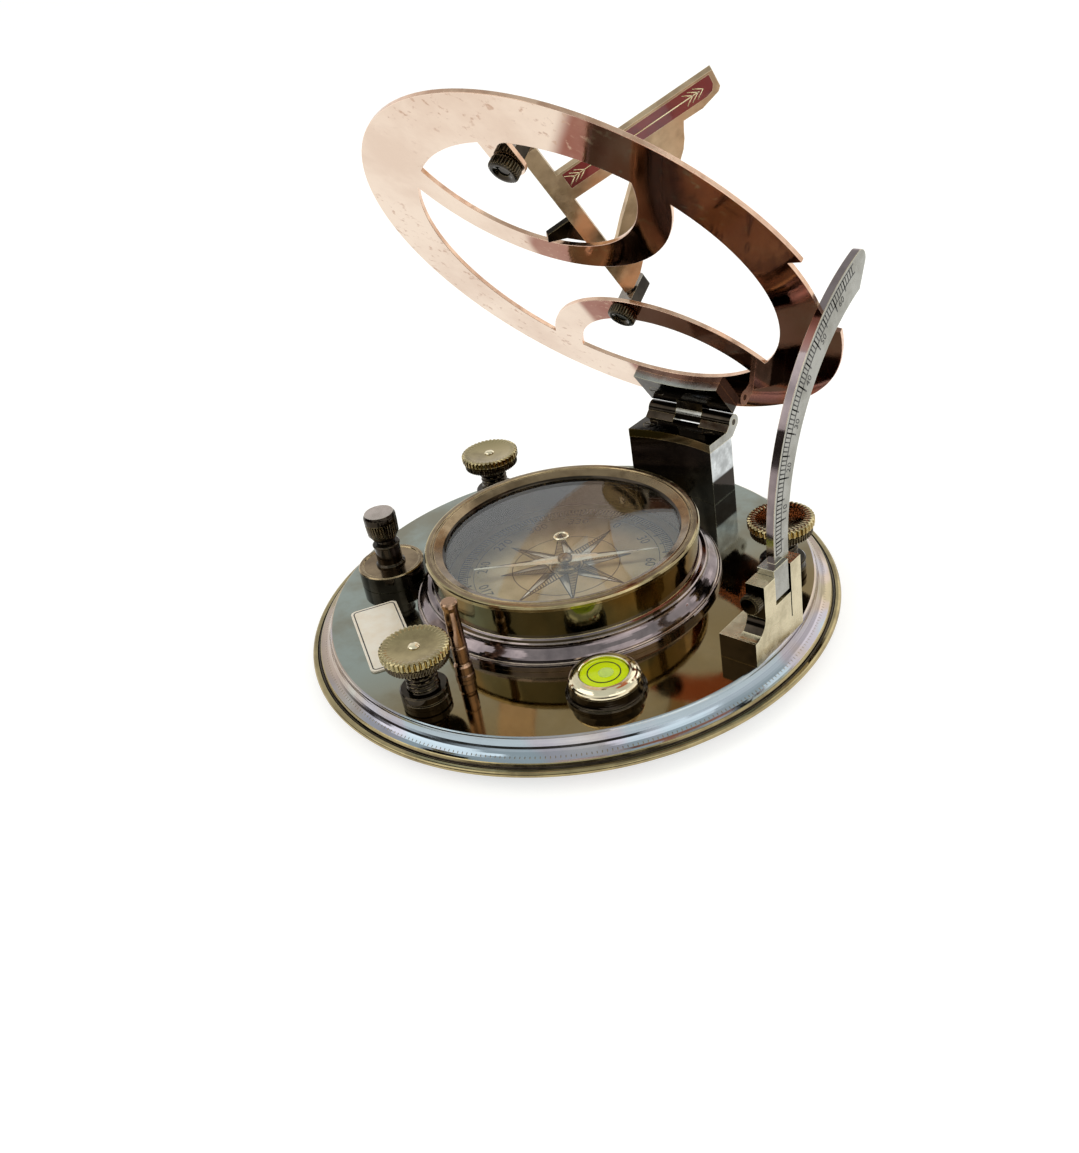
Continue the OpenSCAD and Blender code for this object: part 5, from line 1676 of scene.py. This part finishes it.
@dataclass
class Fittings:
    """The hinge, the rest post, the label and the small screws.

    Attributes:
        post_at: Where the rest post stands.
        label_at: The label's radius and direction, in degrees.
        label_half: Half the label's width and length.
        label_t: Its thickness.
        border: How far inside its edge the printed line lies.
    """

    post_at: Span = (4.6, -48.2)
    label_at: Span = (54.2, -121.8)
    label_half: Span = (6.7, 15.95)
    label_t: float = 0.46
    border: float = 0.8

    def post(self) -> Surface:
        """Makes the rest post: a collar, a ring line, a slim shaft and a flared head."""
        corners = [
            (0, -3), (1.3, -3), (1.3, 0), (2.6, 0.0), (2.6, 1.15), (2.4, 1.6), (2.4, 3.9),
            (2.1, 4.35), (1.8, 4.65),
            (1.8, 5.1), (2.15, 5.5), (2.15, 9.7), (1.95, 9.95), (1.95, 10.4), (2.1, 10.6),
            (1.95, 18.8), (1.9, 20.7),
            (2.2, 22.0), (2.2, 22.9), (1.85, 23.3), (0, 23.3),
        ]
        return revolved(corners, 64, 0.14, 2).moved(shift(*self.post_at, PLACE.top_z))

    def label(self) -> List[Surface]:
        """Makes the label plate's rounded outline and the line printed inside its edge."""

        def outline(half_w: float, half_l: float, corner: float) -> Array:
            """Gives a rounded rectangle's outline."""
            pieces = [
                arc_line(corner, start, start + 90, 9)[:, :2] + [
                    sx * (half_w - corner), sy * (half_l - corner)
                ]
                for start, sx, sy in ((0, 1, 1), (90, -1, 1), (180, -1, -1), (270, 1, -1))
            ]
            return np.concatenate(pieces)

        plate = slab(outline(*self.label_half, 1.6), 0, self.label_t)
        line = outline(*(half - self.border for half in self.label_half), 1.1)
        border = ribbon(np.c_[line, np.full(len(line), self.label_t)], UP, 0.32, 0.03, closed=True)
        place = PLACE.on_plate(*self.label_at)
        return [plate.outward().moved(place), border.outward().moved(place)]

    def build(self, shop: Workshop) -> None:
        """Builds the fittings."""
        block = shop.eased("hinge_block", "base", Slot.BLACK_BRONZE, Finish.BLACK_BRONZE, 0.2)
        # painted reflection: the block's +X faces are pale grey at the top and black below
        shop.zone(block, Finish.POLISHED_BRONZE, lambda p, n: n[:, 0] > 0.8)
        leaf = shop.eased("lower_leaf", "base", Slot.BLACK_BRONZE, Finish.BLACK_BRONZE, 0.25)
        # painted reflections: the lower leaf's +X faces are pale silvered brass and its front end
        # brown
        shop.zone(leaf, Finish.SCALE_BRASS, lambda p, n: n[:, 0] > 0.8)
        shop.zone(
            leaf, Finish.DARK_BRASS, lambda p, n: (n[:, 1] < -0.5) & (p[:, 1] < p[:, 1].min() + 3)
        )
        leaf = shop.eased("upper_leaf", "ring", Slot.BLACK_BRONZE, Finish.BLACK_BRONZE, 0.25)
        # painted reflection: the upper leaf's faces away from the hinge are pale silvered brass
        shop.zone(leaf, Finish.SCALE_BRASS, lambda p, n: n @ PLACE.on_ring()[:3, 1] < -0.8)
        for node in ("lower_leaf_screws", "upper_leaf_screws", "hinge_pin"):
            shop.dress(node, Finish.BLACK_BRONZE)
        shop.dress("plate_screws", Finish.TURNED_BRASS)
        shop.piece(
            "rest_post_turned", self.post(), "base", Slot.BRIGHT_BRASS, Finish.ROSE_BRASS,
            ["rest_post"]
        )
        plate, border = self.label()
        shop.piece(
            "label_face", plate, "base", Slot.LABEL, Finish.IVORY_ENAMEL, ["label_plate"], 30
        )
        shop.piece("label_border", border, "base", Slot.BLACK_BRONZE, Finish.WAX)


# ---------------------------------------------------------------- stage


@dataclass
class Studio:
    """The pale floor, the soft light and the camera.

    Attributes:
        camera_mm: Where the camera stands.
        right, down, ahead: The camera's three directions.
        lens: Focal length for a sensor 36 mm wide.
        floor_m: Half the floor's side, in metres.
        paper: The floor's own colour.
        glow: Strength of white that the floor adds where it is seen or mirrored.
        overhead: The world's colour overhead.
        panel: Colour of the dark panel in front.
        lamps: Each lamp's name, place in metres, size in metres and power in watts.
    """

    camera_mm: Tuple[float, float, float] = (199.288, -206.516, 191.213)
    right: Tuple[float, float, float] = (0.75583514, 0.63699797, -0.15148212)
    down: Tuple[float, float, float] = (0.24494454, -0.48964015, -0.83681222)
    ahead: Tuple[float, float, float] = (-0.60721941, 0.59538737, -0.52611641)
    lens: float = 37.277
    floor_m: float = 6.0
    paper: str = "#D2D0CB"
    glow: float = 0.6
    overhead: str = "#CBD1D1"
    panel: str = "#3C3934"
    lamps: List[Tuple[str, Tuple[float, float, float], float, float]] = field(
        default_factory=lambda: [
            ("key_light", (-0.45, -0.55, 0.75), 0.8, 1.6),
            ("fill_light", (0.7, -0.2, 0.5), 0.7, 0.9),
            ("back_light", (0.1, 0.8, 0.6), 0.8, 1.2),
        ]
    )

    def floor(self) -> None:
        """Lays the pale floor, which the camera sees as white with the object's soft shadow."""
        n = self.floor_m
        mesh = bpy.data.meshes.new("floor")
        mesh.from_pydata([(-n, -n, 0), (n, -n, 0), (n, n, 0), (-n, n, 0)], [], [(0, 1, 2, 3)])
        floor = placed("floor", mesh)
        material, tree = blank("pale_paper_floor")
        path = add(tree, "ShaderNodeLightPath", {})
        seen = path.outputs["Is Camera Ray"]
        for ray in ("Is Glossy Ray", "Is Transmission Ray"):
            seen = add(
                tree, "ShaderNodeMath", {0: seen, 1: path.outputs[ray]}, {"operation": "MAXIMUM"}
            ).outputs[0]
        paper = add(tree, "ShaderNodeBsdfDiffuse", {"Color": linear(self.paper)})
        strength = add(
            tree, "ShaderNodeMath", {0: seen, 1: self.glow}, {"operation": "MULTIPLY"}
        ).outputs[0]
        glow = add(tree, "ShaderNodeEmission", {"Color": linear("#FFFFFF"), "Strength": strength})
        both = add(tree, "ShaderNodeAddShader", {0: paper.outputs[0], 1: glow.outputs[0]})
        add(tree, "ShaderNodeOutputMaterial", {"Surface": both.outputs[0]})
        mesh.materials.append(material)

    def sky(self) -> None:
        """Sets the world: white to the camera, cooler overhead, and a dark panel in front.

        A direction's share of the panel is its share towards -Y times its share of middle height.
        """
        world = bpy.data.worlds.new("soft_studio")
        bpy.context.scene.world = world
        world.use_nodes = True
        tree = world.node_tree
        tree.nodes.clear()
        place = add(tree, "ShaderNodeTexCoord", {})
        way = add(tree, "ShaderNodeSeparateXYZ", {0: place.outputs["Generated"]})
        shares = []
        for axis, low, high in (
            ("Z", 0.25, 0.8), ("Z", 0.08, 0.16), ("Z", 0.52, 0.38), ("Y", -0.05, -0.45)
        ):
            spread = {
                "Value": way.outputs[axis], "From Min": low, "From Max": high, "To Min": 0.0,
                "To Max": 1.0
            }
            smooth = {"interpolation_type": "SMOOTHSTEP"}
            shares.append(add(tree, "ShaderNodeMapRange", spread, smooth).outputs["Result"])
        tone = layered(
            tree, "#FFFFFF", [(shares[0], self.overhead), (overlap(tree, shares[1:]), self.panel)]
        )
        path = add(tree, "ShaderNodeLightPath", {})
        shown = {0: path.outputs["Is Camera Ray"], 6: tone, 7: linear("#FFFFFF")}
        colour = add(tree, "ShaderNodeMix", shown, {"data_type": "RGBA"}).outputs[2]
        light = add(tree, "ShaderNodeBackground", {"Color": colour, "Strength": 1.0})
        add(tree, "ShaderNodeOutputWorld", {"Surface": light.outputs[0]})

    def light(self) -> None:
        """Hangs the soft lamps, each turned to the object."""
        for name, spot, size, power in self.lamps:
            lamp = bpy.data.lights.new(name, "AREA")
            lamp.shape, lamp.size, lamp.energy = "DISK", size, power
            thing = placed(name, lamp)
            way = Matrix.Translation(spot)
            aim = (-way.translation).to_track_quat("-Z", "Y").to_matrix().to_4x4()
            thing.matrix_world = way @ aim

    def camera(self) -> None:
        """Sets the camera at the viewing place, from its three directions."""
        data = bpy.data.cameras.new("camera")
        data.sensor_width, data.lens, data.clip_start, data.clip_end = 36.0, self.lens, 0.01, 50.0
        thing = placed("camera", data)
        axes = np.eye(4)
        axes[:3, :3] = np.stack([self.right, -np.array(self.down), -np.array(self.ahead)], 1)
        axes[:3, 3] = np.array(self.camera_mm) * MM
        thing.matrix_world = Matrix(axes.tolist())
        bpy.context.scene.camera = thing

    def build(self) -> None:
        """Sets up the whole stage."""
        self.floor()
        self.sky()
        self.light()
        self.camera()
        bpy.context.scene.view_settings.view_transform = "Standard"


def main() -> None:
    """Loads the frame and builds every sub-assembly in order."""
    logging.basicConfig(level=logging.INFO, format="%(message)s")
    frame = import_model()
    Studio().build()
    shop = Workshop(frame)
    for part in (
        BasePlate(), LevellingScrews(), Compass(), NeedleLock(), Level(), HourRing(), Gnomon(),
        LatitudeArc(),
        Fittings(),
    ):
        part.build(shop)
        LOG.info("%s done", type(part).__name__)


if __name__ == "__main__":
    main()
